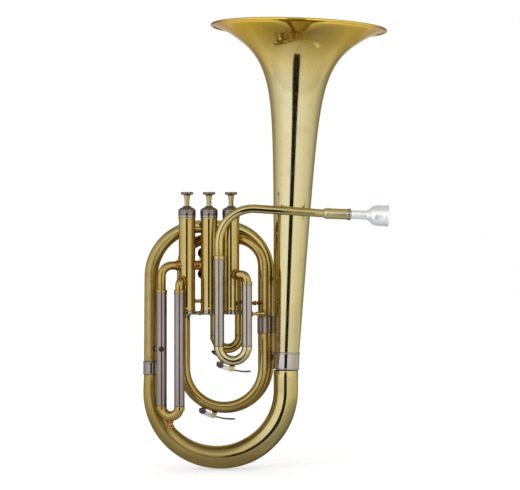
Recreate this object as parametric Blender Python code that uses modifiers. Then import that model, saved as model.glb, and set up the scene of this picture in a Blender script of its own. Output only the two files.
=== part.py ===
# Three-valve euphonium, upright, bell up.  Metres, +Z up, player's side at -Y.
# The windway runs: mouthpiece, receiver, leadpipe, main tuning slide, valves
# 1, 2 and 3, front inner bow, crossover bow, rear inner bow, top bow, left
# branch, bottom bow and bell.
import math
import bpy
import bmesh
from mathutils import Vector, Matrix

for ob in list(bpy.data.objects):
    bpy.data.objects.remove(ob, do_unlink=True)

MM = 0.001

# ---------------------------------------------------------------- dimensions
# Everything below is in millimetres, and is scaled to metres when it is made.
ORIGIN = (-0.44, 14.0, 1.39)    # the point of this layout that becomes 0,0,0

GAP = 0.3                        # clearance between touching pieces
VALVE_X = {1: -45.8, 2: -75.1, 3: -104.4}
CASING_R, CASING_BORE = 11.0, 9.75
CASING_TOP, CASING_BOTTOM = 340.0, 212.8
PISTON_R, PISTON_TOP, PISTON_BOTTOM = 9.3, 335.0, 250.0
STEM_R = 3.3
BUTTON_R, BUTTON_UNDER, BUTTON_TOP = 8.5, 365.8, 371.0
VALVE_TRAVEL = 14.0

SLEEVE_R, SLEEVE_WALL = 6.9, 0.6  # outer slide tubes
LEG_R, LEG_WALL = 5.6, 0.5        # inner slide tubes
BOW_R = 6.5                       # bow tube of each slide
VALVE_TUBE_R = 5.6                # elbows between casings and slides

BELL_BASE = Vector((27.9, 14.0, 146.3))
BELL_AXIS = Vector((0.0375, 0.0, 0.9993)).normalized()
BELL_LENGTH = 443.0
RIM_R = 118.3

TOP_BOW_Z = 325.3
LEFT_X, LEFT_Y = -152.8, 16.0
A_LEFT, A_RIGHT, A_BOTTOM = (-107.6, 18.5), (-3.3, 13.0), 84.1
B_LEFT, B_RIGHT, B_BOTTOM = (-112.4, 33.0), (4.0, 33.0), 81.1
CROSS_Z = 308.6

MAIN_Y, MAIN_L, MAIN_R = -20.0, -61.4, -24.6
THIRD_L, THIRD_R = (-137.7, -8.0), (-113.7, -17.0)
FIRST_L, FIRST_R = (-67.2, 17.5), (-34.3, 17.5)
SECOND_X, SECOND_HI, SECOND_LO = -83.5, 290.0, 262.0
LEAD_END, LEAD_DIR = Vector((76.2, -20.0, 342.3)), Vector((1.0, 0.0, -0.0419)).normalized()

# ---------------------------------------------------------------- collections
parts = bpy.data.collections.new("euphonium")
cutters = bpy.data.collections.new("cutters")
bpy.context.scene.collection.children.link(parts)
bpy.context.scene.collection.children.link(cutters)


def empty(name, place):
    e = bpy.data.objects.new(name, None)
    parts.objects.link(e)
    e.location = [c * MM for c in place]
    return e


BASE = empty("instrument_origin", [-c for c in ORIGIN])


def material(name, rgb, rough, metal):
    m = bpy.data.materials.new(name)
    m.use_nodes = True
    p = m.node_tree.nodes["Principled BSDF"]
    p.inputs["Base Color"].default_value = (*rgb, 1.0)
    p.inputs["Roughness"].default_value = rough
    p.inputs["Metallic"].default_value = metal
    m.diffuse_color = (*rgb, 1.0)
    return m


BRASS = ("lacquered_brass", (0.80, 0.60, 0.22), 0.16, 1.0)
NICKEL = ("nickel_silver", (0.66, 0.64, 0.62), 0.18, 1.0)
SILVER = ("silver_plate", (0.78, 0.79, 0.80), 0.10, 1.0)
STEEL = ("spring_steel", (0.45, 0.45, 0.46), 0.30, 1.0)


def keep(ob, spec, collection=None):
    """Link a finished object, hang it on the instrument's origin, colour it."""
    (collection or parts).objects.link(ob)
    ob.parent = BASE
    if collection is cutters:
        ob.hide_render = True
        ob.display_type = 'WIRE'
    else:
        ob.data.materials.clear()
        ob.data.materials.append(material(ob.name + "_" + spec[0], *spec[1:]))
        ob.data.shade_smooth()
        ob.data.set_sharp_from_angle(angle=math.radians(40))
    return ob


# ---------------------------------------------------------------- shape tools
def route(corners, step=22.5):
    """Points along straight runs joined by round bends.

    corners: (x, y, z) for the ends and (x, y, z, bend radius) between them.
    step: degrees turned between points of a bend."""
    pts = [Vector(corners[0][:3])]
    for i in range(1, len(corners) - 1):
        p = Vector(corners[i][:3])
        r = corners[i][3]
        a = (Vector(corners[i - 1][:3]) - p).normalized()
        b = (Vector(corners[i + 1][:3]) - p).normalized()
        turn = math.pi - a.angle(b)
        tangent = r * math.tan(turn / 2)
        start = p + a * tangent
        centre = p + (a + b).normalized() * (r / math.cos(turn / 2))
        arm = start - centre
        axis = arm.cross(p + b * tangent - centre).normalized()
        n = max(2, round(math.degrees(turn) / step))
        for k in range(n + 1):
            q = centre + Matrix.Rotation(turn * k / n, 3, axis) @ arm
            if (q - pts[-1]).length > 0.05:
                pts.append(q)
    end = Vector(corners[-1][:3])
    if (end - pts[-1]).length > 0.05:
        pts.append(end)
    return pts


def lengths(pts):
    run = [0.0]
    for a, b in zip(pts, pts[1:]):
        run.append(run[-1] + (b - a).length)
    return run


def tube(name, pts, radius, wall, spec, sides=10):
    """A hollow tube, open at both ends, along pts.  radius is the outer radius,
    or a function of the fraction of the length."""
    origin = pts[0].copy()
    total = lengths(pts)
    crv = bpy.data.curves.new(name + "_line", 'CURVE')
    crv.dimensions = '3D'
    crv.bevel_depth = MM
    crv.bevel_resolution = (sides - 4) // 2
    crv.use_fill_caps = False
    sp = crv.splines.new('POLY')
    sp.points.add(len(pts) - 1)
    for i, p in enumerate(pts):
        sp.points[i].co = (*((p - origin) * MM), 1.0)
        sp.points[i].radius = radius(total[i] / total[-1]) if callable(radius) else radius
    tmp = bpy.data.objects.new(name + "_line", crv)
    bpy.context.scene.collection.objects.link(tmp)
    deps = bpy.context.evaluated_depsgraph_get()
    me = bpy.data.meshes.new_from_object(tmp.evaluated_get(deps))
    bpy.data.objects.remove(tmp, do_unlink=True)
    bm = bmesh.new()
    bm.from_mesh(me)
    bmesh.ops.remove_doubles(bm, verts=bm.verts, dist=1e-6)
    bm.to_mesh(me)
    bm.free()
    me.name = name
    ob = bpy.data.objects.new(name, me)
    ob.location = origin * MM
    sol = ob.modifiers.new("wall", 'SOLIDIFY')
    sol.thickness = wall * MM
    sol.offset = -1.0
    sol.use_rim = True
    return keep(ob, spec)


def turned(name, profile, place, spec, steps=16, axis=None, closed=False, collection=None):
    """A turned piece.  profile: (radius, height) pairs, top to bottom on the
    outside; closed joins the last to the first for a hollow piece."""
    me = bpy.data.meshes.new(name)
    verts = [(r * MM, 0.0, z * MM) for r, z in profile]
    edges = [(i, i + 1) for i in range(len(profile) - 1)]
    if closed:
        edges.append((len(profile) - 1, 0))
    me.from_pydata(verts, edges, [])
    ob = bpy.data.objects.new(name, me)
    ob.location = [c * MM for c in place]
    if axis is not None:
        ob.rotation_mode = 'QUATERNION'
        ob.rotation_quaternion = Vector((0, 0, 1)).rotation_difference(Vector(axis).normalized())
    sc = ob.modifiers.new("turn", 'SCREW')
    sc.steps = sc.render_steps = steps
    sc.use_merge_vertices = True
    sc.merge_threshold = 0.00001
    sc.use_smooth_shade = True
    return keep(ob, spec, collection)


def ring(name, r_out, r_in, z0, z1, place, spec, axis=None, steps=16, bead=0.0):
    """A short sleeve; bead raises a narrow band round each of its ends."""
    if bead:
        w = 3.0
        prof = [(r_out + bead, z1), (r_out + bead, z1 - w), (r_out, z1 - w - bead),
                (r_out, z0 + w + bead), (r_out + bead, z0 + w), (r_out + bead, z0)]
    else:
        prof = [(r_out, z1), (r_out, z0)]
    return turned(name, prof + [(r_in, z0), (r_in, z1)], place, spec, steps, axis, True)


def stay(name, a, b, spec, r=1.9, foot=4.2, steps=10):
    """A solid strut with a flared foot at each end."""
    a, b = Vector(a), Vector(b)
    h = (b - a).length
    t = min(1.0, h * 0.2)
    f = min(3.0, h * 0.4)
    prof = [(0, h), (foot, h), (foot, h - t), (r, h - f), (r, f), (foot, t), (foot, 0), (0, 0)]
    return turned(name, prof, a, spec, steps, b - a)


def cylinder(name, r, a, b, verts=12):
    """A cutter or a joining piece: a cylinder between two points."""
    a, b = Vector(a), Vector(b)
    bpy.ops.mesh.primitive_cylinder_add(vertices=verts, radius=r * MM, depth=(b - a).length * MM)
    ob = bpy.context.object
    ob.name = name
    for c in list(ob.users_collection):
        c.objects.unlink(ob)
    ob.location = (a + b) / 2 * MM
    ob.rotation_mode = 'QUATERNION'
    ob.rotation_quaternion = Vector((0, 0, 1)).rotation_difference((b - a).normalized())
    return keep(ob, None, cutters)


def block(name, size, place, spin=0.0, collection=cutters, spec=None):
    """A box, turned by spin degrees about Y."""
    bpy.ops.mesh.primitive_cube_add(size=1.0)
    ob = bpy.context.object
    ob.name = name
    for c in list(ob.users_collection):
        c.objects.unlink(ob)
    for v in ob.data.vertices:
        v.co = Vector((v.co.x * size[0], v.co.y * size[1], v.co.z * size[2])) * MM
    ob.location = [c * MM for c in place]
    ob.rotation_euler = (0.0, math.radians(spin), 0.0)
    return keep(ob, spec, collection)


def combine(ob, other, operation):
    b = ob.modifiers.new(operation.lower() + "_" + other.name, 'BOOLEAN')
    b.operation = operation
    b.solver = 'EXACT'
    b.object = other
    return ob


def polar(n, angle, r, z):
    a = math.radians(angle)
    return Vector((VALVE_X[n] + r * math.cos(a), r * math.sin(a), z))


def bearing(n, point):
    return math.degrees(math.atan2(point[1], point[0] - VALVE_X[n]))


# ---------------------------------------------------------------- bell
def bell_r(d):
    """Outer radius of the bell, d millimetres down its axis from the rim."""
    return 16.6 + 0.0407 * (BELL_LENGTH - d) + 84.2 * math.exp(-((max(d, 0.0) / 29.0) ** 0.88))


def bell_point(z, angle=0.0, out=0.0):
    """A point at height z, out millimetres outside the bell's wall."""
    along = (z - BELL_BASE.z) / BELL_AXIS.z
    c = BELL_BASE + BELL_AXIS * along
    r = bell_r(BELL_LENGTH - along) + out
    a = math.radians(angle)
    return c + Vector((r * math.cos(a), r * math.sin(a), 0.0))


FERRULE_TOP = 11.0                # bell ferrule, along the bell's axis from BELL_BASE
FERRULE_BOTTOM = -11.8
depths = [4.6, 9, 15, 24, 36, 52, 75, 110, 170, 260, BELL_LENGTH - FERRULE_TOP - GAP]
outer = [(bell_r(d), BELL_LENGTH - d) for d in depths]
inner = [(bell_r(d) - 0.8, BELL_LENGTH - d) for d in reversed(depths)]
rim = [(RIM_R - 3.4, BELL_LENGTH), (RIM_R - 0.9, BELL_LENGTH), (RIM_R, BELL_LENGTH - 1.0),
       (RIM_R, BELL_LENGTH - 2.4), (RIM_R - 1.2, BELL_LENGTH - 3.3)]


def rim_rise(r, y):
    """The lip turns up a little beyond the flare, and leans towards the front."""
    return 3.3 * min(1.0, max(0.0, (r - 78.0) / 36.0)) + 0.020 * y * min(1.0, max(0.0, (r - 30.0) / 30.0))


def leaning_bell(name, profile, place, axis, spec, steps):
    """The bell's wall: a turned outline whose lip is not quite square to its axis."""
    verts, faces = [], []
    for r, h in profile:
        for k in range(steps):
            a = 2 * math.pi * k / steps
            y = r * math.sin(a)
            verts.append((r * math.cos(a) * MM, y * MM, (h + rim_rise(r, y)) * MM))
    n = len(profile)
    for i in range(n):
        j = (i + 1) % n
        for k in range(steps):
            l = (k + 1) % steps
            faces.append((i * steps + k, i * steps + l, j * steps + l, j * steps + k))
    me = bpy.data.meshes.new(name)
    me.from_pydata(verts, [], faces)
    bm = bmesh.new()
    bm.from_mesh(me)
    bmesh.ops.recalc_face_normals(bm, faces=bm.faces)
    bm.to_mesh(me)
    bm.free()
    me.shade_smooth()
    ob = bpy.data.objects.new(name, me)
    ob.location = [c * MM for c in place]
    ob.rotation_mode = 'QUATERNION'
    ob.rotation_quaternion = Vector((0, 0, 1)).rotation_difference(Vector(axis).normalized())
    return keep(ob, spec)


leaning_bell("bell", rim + outer + inner + [(bell_r(4.0) - 1.0, BELL_LENGTH - 1.5)],
             BELL_BASE, BELL_AXIS, BRASS, 24)
ring("bell_ferrule", 17.6, 16.0, FERRULE_BOTTOM, FERRULE_TOP, BELL_BASE, NICKEL, BELL_AXIS, 16, 0.5)

# ---------------------------------------------------------------- bottom bow
BOW_TURN = 89.9
foot_z = 16.6


def bow_radius(t):
    return 9.9 + 6.6 * min(1.0, t / 0.62) ** 0.9


tube("bottom_bow", route([(LEFT_X, LEFT_Y, 127.4), (LEFT_X, LEFT_Y, foot_z, BOW_TURN),
                          (27.0, 14.0, foot_z, BOW_TURN), (27.4, 14.0, 133.2)], 18),
     bow_radius, 0.8, BRASS, 12)
ring("branch_ferrule", 10.8, 9.3, 127.7, 145.0, (LEFT_X, LEFT_Y, 0), NICKEL, steps=12, bead=0.3)

# ---------------------------------------------------------------- inner bows
tube("outlet_elbow", route([(-106.2, 11.4, 235), (A_LEFT[0], A_LEFT[1], 235, 6.9),
                            (*A_LEFT, 208.2)], 30), 6.6, 0.6, BRASS)
tube("inner_bow_front", route([(*A_LEFT, 207.9), (*A_LEFT, A_BOTTOM, 52.1),
                               (*A_RIGHT, A_BOTTOM, 52.1), (*A_RIGHT, 182.0)]),
     6.75, 0.6, BRASS)
ring("front_ferrule", 7.6, 6.2, 182.3, 204.7, (*A_RIGHT, 0), NICKEL, steps=12)
tube("crossover_bow", route([(*A_RIGHT, 205.0), (*A_RIGHT, CROSS_Z, 36), (*B_LEFT, CROSS_Z, 36),
                             (*B_LEFT, 230.2)]),
     lambda t: 6.75 + 0.35 * t, 0.6, BRASS)
tube("inner_bow_rear", route([(*B_LEFT, 229.9), (*B_LEFT, B_BOTTOM, 58.1),
                              (*B_RIGHT, B_BOTTOM, 58.1), (*B_RIGHT, 182.0)]),
     lambda t: 7.1 + 0.15 * t, 0.6, BRASS)
ring("rear_ferrule", 8.1, 6.7, 182.3, 204.7, (*B_RIGHT, 0), NICKEL, steps=12)
tube("top_bow", route([(*B_RIGHT, 205.0), (*B_RIGHT, TOP_BOW_Z, 59.8),
                       (LEFT_X, LEFT_Y, TOP_BOW_Z, 66.5), (LEFT_X, LEFT_Y, 145.3)], 18),
     lambda t: 7.25 + 2.65 * t, 0.7, BRASS, 10)

# ---------------------------------------------------------------- leadpipe
LEAD_FALL = 0.068                 # the pipe's slope, a little steeper than the receiver's
lead_corner = LEAD_END + Vector((MAIN_L - LEAD_END.x, 0, (LEAD_END.x - MAIN_L) * LEAD_FALL))
tube("leadpipe", route([(MAIN_L, MAIN_Y, 282.5), (*lead_corner, 45.0), tuple(LEAD_END)]),
     lambda t: 5.9 - 0.5 * t, 0.6, BRASS)
REC = LEAD_END + LEAD_DIR * GAP
turned("receiver", [(6.6, 36.0), (7.45, 35.0), (7.45, 4.0), (6.2, 2.0), (6.2, 0.0),
                    (4.9, 0.0), (4.9, 8.0), (5.6, 11.0), (6.3, 36.0)][::1],
       REC, BRASS, 12, LEAD_DIR, True)
MP = REC + LEAD_DIR * 12.0        # tip of the mouthpiece shank
mp_out = [(0.0, 5.1), (24.5, 5.75), (25.0, 6.0), (43, 6.2), (47.0, 7.4), (50.0, 10.2), (53.0, 12.4), (57.0, 13.7),
          (67.0, 14.0), (69.0, 14.4), (73.0, 14.4), (74.0, 13.8)]
mp_in = [(74.0, 12.4), (71.0, 11.5), (63.0, 10.8), (57.0, 7.6), (53.0, 4.6), (49.0, 2.9), (0.0, 4.2)]
turned("mouthpiece", [(r, z) for z, r in reversed(mp_out)] + [(r, z) for z, r in reversed(mp_in)],
       MP, SILVER, 14, LEAD_DIR, True)

# ---------------------------------------------------------------- slides
def crook(name, a, b, top_a, top_b, shoulder, spec=BRASS):
    """The moving part of a slide: two thin legs that sit inside the sleeves,
    joined below by a wider round bow."""
    a, b = Vector((*a, 0)), Vector((*b, 0))
    half = (b - a).length / 2
    arc = route([(a.x, a.y, shoulder), (a.x, a.y, shoulder - 0.6 - half, half),
                 (b.x, b.y, shoulder - 0.6 - half, half), (b.x, b.y, shoulder)], 22.5)
    pts = ([Vector((a.x, a.y, top_a)), Vector((a.x, a.y, shoulder + 0.3))] + arc
           + [Vector((b.x, b.y, shoulder + 0.3)), Vector((b.x, b.y, top_b))])
    total = lengths(pts)
    lo, hi = total[1] / total[-1], total[-2] / total[-1]
    return tube(name, pts, lambda t: LEG_R if t <= lo + 1e-6 or t >= hi - 1e-6 else BOW_R,
                LEG_WALL, spec, 8)


def sleeve(name, x, y, z0, z1, spec=NICKEL):
    return tube(name, [Vector((x, y, z1)), Vector((x, y, z0))], SLEEVE_R, SLEEVE_WALL, spec)


def elbow(name, n, boss_angle, z, leg, z_end, bend, extra=None, start=12.9):
    """A valve elbow: out of casing n at height z, then down over a slide leg."""
    p0 = polar(n, boss_angle, start, z)
    mid = [] if extra is None else [extra]
    return tube(name, route([tuple(p0)] + mid + [(leg[0], leg[1], z, bend), (leg[0], leg[1], z_end)],
                            30), VALVE_TUBE_R, 0.6, BRASS)


# main tuning slide, in front of valve 1
MAIN_SHOULDER = 166.9
sleeve("main_sleeve_left", MAIN_L, MAIN_Y, 167.3, 282.2)
sleeve("main_sleeve_right", MAIN_R, MAIN_Y, 167.3, 248.7)
crook("main_slide_crook", (MAIN_L, MAIN_Y), (MAIN_R, MAIN_Y), 264.0, 240.0, MAIN_SHOULDER)
MAIN_PORT_Z, MAIN_BOSS = 261.5, -56.5
c1 = polar(1, MAIN_BOSS, 18.4, MAIN_PORT_Z)
elbow("main_slide_elbow", 1, MAIN_BOSS, MAIN_PORT_Z, (MAIN_R, MAIN_Y), 249.0, 8.0,
      (c1.x, c1.y, MAIN_PORT_Z, 7.0))

# third slide, left of valve 3
T_HI, T_LO = 273.3, 252.7
sleeve("third_sleeve_left", *THIRD_L, 88.0, 237.4)
sleeve("third_sleeve_right", *THIRD_R, 88.0, 237.4)
third = crook("third_slide_crook", THIRD_L, THIRD_R, 222.0, 222.0, 87.6)
elbow("third_elbow_upper", 3, bearing(3, THIRD_L), T_HI, THIRD_L, 237.7, 14.0)
elbow("third_elbow_lower", 3, bearing(3, THIRD_R), T_LO, THIRD_R, 237.7, 6.1)

# first slide, behind valve 1
F_HI, F_LO = 289.0, 257.0
sleeve("first_sleeve_left", *FIRST_L, 179.5, 246.0, BRASS)
sleeve("first_sleeve_right", *FIRST_R, 179.5, 241.0, BRASS)
crook("first_slide_crook", FIRST_L, FIRST_R, 236.0, 232.0, 179.1)
elbow("first_elbow_left", 1, bearing(1, FIRST_L), F_HI, FIRST_L, 246.3, 9.0)
elbow("first_elbow_right", 1, bearing(1, FIRST_R), F_LO, FIRST_R, 241.3, 7.6)

# second slide, straight back from valve 2
tube("second_sleeve_upper", [Vector((SECOND_X, 14.3, SECOND_HI)), Vector((SECOND_X, 43.7, SECOND_HI))],
     SLEEVE_R, SLEEVE_WALL, NICKEL)
tube("second_sleeve_lower", [Vector((SECOND_X, 14.3, SECOND_LO)), Vector((SECOND_X, 43.7, SECOND_LO))],
     SLEEVE_R, SLEEVE_WALL, NICKEL)
half = (SECOND_HI - SECOND_LO) / 2
arc = route([(SECOND_X, 44.4, SECOND_HI), (SECOND_X, 44.9 + half, SECOND_HI, half),
             (SECOND_X, 44.9 + half, SECOND_LO, half), (SECOND_X, 44.4, SECOND_LO)], 22.5)
pts = ([Vector((SECOND_X, 17, SECOND_HI)), Vector((SECOND_X, 44.1, SECOND_HI))] + arc
       + [Vector((SECOND_X, 44.1, SECOND_LO)), Vector((SECOND_X, 17, SECOND_LO))])
run = lengths(pts)
leg_end, bow_end = run[1] / run[-1], run[-2] / run[-1]
tube("second_slide_crook", pts,
     lambda t: LEG_R if t <= leg_end + 1e-6 or t >= bow_end - 1e-6 else BOW_R, LEG_WALL, BRASS, 8)

# ---------------------------------------------------------------- valves
LINK_Z = 273.6
PORT_R = 4.8
BOSS_R = 6.1
# holes through each casing wall: (bearing, height, boss length, bore radius)
PORTS = {
    1: [(MAIN_BOSS, MAIN_PORT_Z, 12.6, PORT_R), (bearing(1, FIRST_L), F_HI, 12.6, PORT_R),
        (bearing(1, FIRST_R), F_LO, 12.0, PORT_R), (180.0, LINK_Z, 0, PORT_R)],
    2: [],
    3: [(bearing(3, THIRD_L), T_HI, 12.6, PORT_R), (bearing(3, THIRD_R), T_LO, 12.1, PORT_R),
        (bearing(3, A_LEFT), 235.0, 0, 5.9), (0.0, LINK_Z, 0, PORT_R)],
}
for n, x in VALVE_X.items():
    v = f"valve_{n}_"
    case = turned(v + "casing", [(0, CASING_TOP), (10.25, CASING_TOP), (10.25, 336.7), (CASING_R, 336.4),
                                 (CASING_R, CASING_BOTTOM), (0, CASING_BOTTOM)],
                  (x, 0, 0), BRASS, 16)
    if n == 2:
        # tubes and stays that tie the three casings together
        link = cylinder("link_tube", BOSS_R, (x - 20, 0, LINK_Z), (x + 20, 0, LINK_Z))
        combine(case, link, 'UNION')
        for i, z in enumerate((226.0, 322.0)):
            combine(case, cylinder(f"link_stay_{i}", 2.2, (x - 20, 0, z), (x + 20, 0, z), 8), 'UNION')
        for i, z in enumerate((SECOND_HI, SECOND_LO)):
            combine(case, cylinder(f"second_boss_{i}", BOSS_R, (SECOND_X, 3, z), (SECOND_X, 14.0, z)), 'UNION')
        for m in (1, 3):
            combine(case, cylinder(f"clear_{m}", CASING_R + GAP + 0.1, (VALVE_X[m], 0, 200), (VALVE_X[m], 0, 350), 12),
                    'DIFFERENCE')
    for i, (ang, z, boss, bore) in enumerate(PORTS[n]):
        if boss:
            combine(case, cylinder(f"{v}boss_{i}", BOSS_R, polar(n, ang, 6, z), polar(n, ang, boss, z), 11), 'UNION')
    combine(case, cylinder(v + "bore", CASING_BORE, (x, 0, 200), (x, 0, 350), 16), 'DIFFERENCE')
    for i, (ang, z, boss, bore) in enumerate(PORTS[n]):
        combine(case, cylinder(f"{v}port_{i}", bore, polar(n, ang, 4, z), polar(n, ang, 16, z), 9), 'DIFFERENCE')
    if n == 2:
        combine(case, cylinder("link_bore", PORT_R, (x - 22, 0, LINK_Z), (x + 22, 0, LINK_Z), 10), 'DIFFERENCE')
        for i, z in enumerate((SECOND_HI, SECOND_LO)):
            combine(case, cylinder(f"second_port_{i}", PORT_R, (SECOND_X, 2, z), (SECOND_X, 17, z), 10),
                    'DIFFERENCE')

    turned(v + "top_cap", [(3.9, 351.0), (6.0, 350.8), (10.2, 348.6), (11.75, 347.2), (11.75, 337.0),
                           (10.95, 337.0), (10.95, 340.4), (8.6, 340.4), (8.6, 346.0), (3.9, 347.5)],
           (x, 0, 0), NICKEL, 12, None, True)
    turned(v + "bottom_cap", [(9.3, 214.6), (9.3, 212.5), (11.6, 212.5), (11.6, 209.6), (10.6, 208.4),
                              (2.0, 208.4), (2.0, 210.6), (7.9, 211.0), (7.9, 214.6)],
           (x, 0, 0), NICKEL, 12, None, True)

    # the piston, its stem and its button travel together on the valve's axis
    piston = turned(v + "piston", [(0, PISTON_TOP), (PISTON_R - 0.6, PISTON_TOP), (PISTON_R, PISTON_TOP - 0.8),
                                   (PISTON_R, PISTON_BOTTOM + 0.8), (PISTON_R - 0.6, PISTON_BOTTOM),
                                   (0, PISTON_BOTTOM)], (x, 0, 0), NICKEL, 12)
    for i, (turn, z) in enumerate(((0.0, LINK_Z), (60.0, LINK_Z + 15.0), (115.0, LINK_Z - 13.0))):
        combine(piston, cylinder(f"{v}passage_{i}", 4.6, polar(n, turn, -12, z), polar(n, turn, 12, z), 10),
                'DIFFERENCE')
    turned(v + "button", [(0, BUTTON_TOP), (6.6, BUTTON_TOP), (8.1, BUTTON_TOP - 0.6), (BUTTON_R, BUTTON_TOP - 1.8),
                          (BUTTON_R, BUTTON_UNDER + 1.2), (7.2, BUTTON_UNDER), (STEM_R, BUTTON_UNDER - 0.4),
                          (STEM_R, PISTON_TOP + GAP), (0, PISTON_TOP + GAP)], (x, 0, 0), NICKEL, 12)

    # the return spring, standing in the bottom cap
    turns, per, r = 4, 8, 6.6
    z0, z1 = 215.6, PISTON_BOTTOM - 1.0
    crv = bpy.data.curves.new(v + "spring_line", 'CURVE')
    crv.dimensions = '3D'
    crv.bevel_depth = 0.6 * MM
    crv.bevel_resolution = 0
    crv.use_fill_caps = True
    sp = crv.splines.new('POLY')
    sp.points.add(turns * per)
    for k in range(turns * per + 1):
        a = 2 * math.pi * k / per
        sp.points[k].co = (r * math.cos(a) * MM, r * math.sin(a) * MM,
                           (z0 + (z1 - z0) * k / (turns * per)) * MM, 1.0)
    spring = bpy.data.objects.new(v + "spring", crv)
    spring.location = (x * MM, 0, 0)
    parts.objects.link(spring)
    spring.parent = BASE
    crv.materials.append(material(v + "spring_steel", *STEEL[1:]))

# ---------------------------------------------------------------- braces
def on_line(a, ra, b, rb, z):
    """Ends of a strut between two upright tubes, centres a and b, radii ra and rb."""
    a, b = Vector((a[0], a[1], z)), Vector((b[0], b[1], z))
    d = (b - a).normalized()
    return a + d * (ra + 0.4), b - d * (rb + 0.4)


def bell_line(a, ra, z):
    c = bell_point(z)
    along = (z - BELL_BASE.z) / BELL_AXIS.z
    r = bell_r(BELL_LENGTH - along)
    return on_line(a, ra, (c.x - r, c.y), r, z)


stay("sleeve_bell_brace", *bell_line((MAIN_R, MAIN_Y), SLEEVE_R, 209.5), BRASS, 1.9, 4.5)
stay("inner_brace", *on_line(A_LEFT, 6.75, FIRST_L, SLEEVE_R, 209.5), BRASS, 2.6, 3.6)
stay("sleeve_tube_brace", *on_line((MAIN_R, MAIN_Y), SLEEVE_R, A_RIGHT, 6.75, 223.4), BRASS, 2.4, 3.6)
stay("bell_brace_upper", *bell_line(B_RIGHT, 7.25, 254.7), BRASS, 2.6, 4.2)
stay("bell_brace_lower", *on_line(B_RIGHT, 7.25, (28.0, 14.0), 18.1, 149.6), BRASS, 2.6, 4.2)
stay("branch_brace", *on_line((LEFT_X, LEFT_Y), 9.9, THIRD_L, SLEEVE_R, 162.5), BRASS, 2.4, 4.0)
p = LEAD_END + Vector((-39.0, 0, 39.0 * LEAD_FALL))     # a short block where the leadpipe passes the bell
front = bell_point(p.z, -90.0, 0.5)
stay("leadpipe_brace", (p.x, MAIN_Y + 6.1, p.z), (p.x, front.y, p.z), NICKEL, 2.4, 3.6)


# ---------------------------------------------------------------- water keys
def water_key(name, pivot, pad, tail, y, centre, surface):
    """A sprung drain key under a bow, in the plane y.

    pivot, pad, tail: (x, z); centre: middle of the bow; surface: radius from
    there to the outside of the bow."""
    P = Vector((pivot[0], y, pivot[1]))
    up = (Vector((centre[0], y, centre[1])) - P).normalized()
    side = Vector((up.z, 0, -up.x))
    dist = (Vector((centre[0], y, centre[1])) - P).length
    plate = dist - surface - 0.4                     # from pivot up to the plate's top
    spin = math.degrees(math.atan2(up.x, up.z))
    saddle = block(name + "_saddle", (7.0, 8.6, 1.0), P + up * (plate - 0.5), spin, parts, BRASS)
    for s in (-1, 1):
        cheek = block(f"{name}_cheek_{s}", (6.0, 1.2, plate + 2.6), P + up * ((plate - 2.8) / 2)
                      + Vector((0, s * 3.7, 0)), spin)
        combine(saddle, cheek, 'UNION')
    combine(saddle, cylinder(name + "_pin", 0.8, P + Vector((0, -4.0, 0)), P + Vector((0, 4.0, 0)), 8), 'UNION')

    lever = cylinder(name + "_lever_barrel", 2.0, P + Vector((0, -2.7, 0)), P + Vector((0, 2.7, 0)), 10)
    cutters.objects.unlink(lever)
    parts.objects.link(lever)
    lever.name = name + "_lever"
    lever.hide_render = False
    lever.display_type = 'TEXTURED'
    lever.data.materials.append(material(name + "_lever_brass", *BRASS[1:]))
    for tag, end, w, deep in (("pad_arm", pad, 4.6, 2.8), ("tail_arm", tail, 4.2, 1.4)):
        e = Vector((end[0], y, end[1]))
        d = e - P
        ang = math.degrees(math.atan2(-d.z, d.x))
        sink = up * (deep / 2 - 0.7)      # a deeper arm grows away from the bow
        arm = block(f"{name}_{tag}", (d.length - 1.2, w, deep), P + d * 0.5 + d.normalized() * 0.6 - sink, ang)
        combine(lever, arm, 'UNION')
    e = Vector((pad[0], y, pad[1]))
    u = (Vector((centre[0], y, centre[1])) - e).normalized()
    combine(lever, cylinder(name + "_cup", 4.4, e - u * 3.0, e + u * 1.8, 12), 'UNION')
    combine(lever, cylinder(name + "_pin_hole", 1.15, P + Vector((0, -6, 0)), P + Vector((0, 6, 0)), 8),
            'DIFFERENCE')


main_mid = ((MAIN_L + MAIN_R) / 2, MAIN_SHOULDER - 0.6)
water_key("water_key_1", (-44.2, 137.6), (-59.6, 143.2), (-19.3, 134.2), MAIN_Y, main_mid, 18.4 + BOW_R)
water_key("water_key_2", (-69.5, 71.0), (-84.6, 77.4), (-41.0, 66.0), 33.0, (-54.2, 139.2), 58.1 + 7.3)

bpy.context.view_layer.update()
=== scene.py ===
import math
import bpy
import bmesh
import numpy as np
from mathutils import Vector, Matrix, noise

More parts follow.
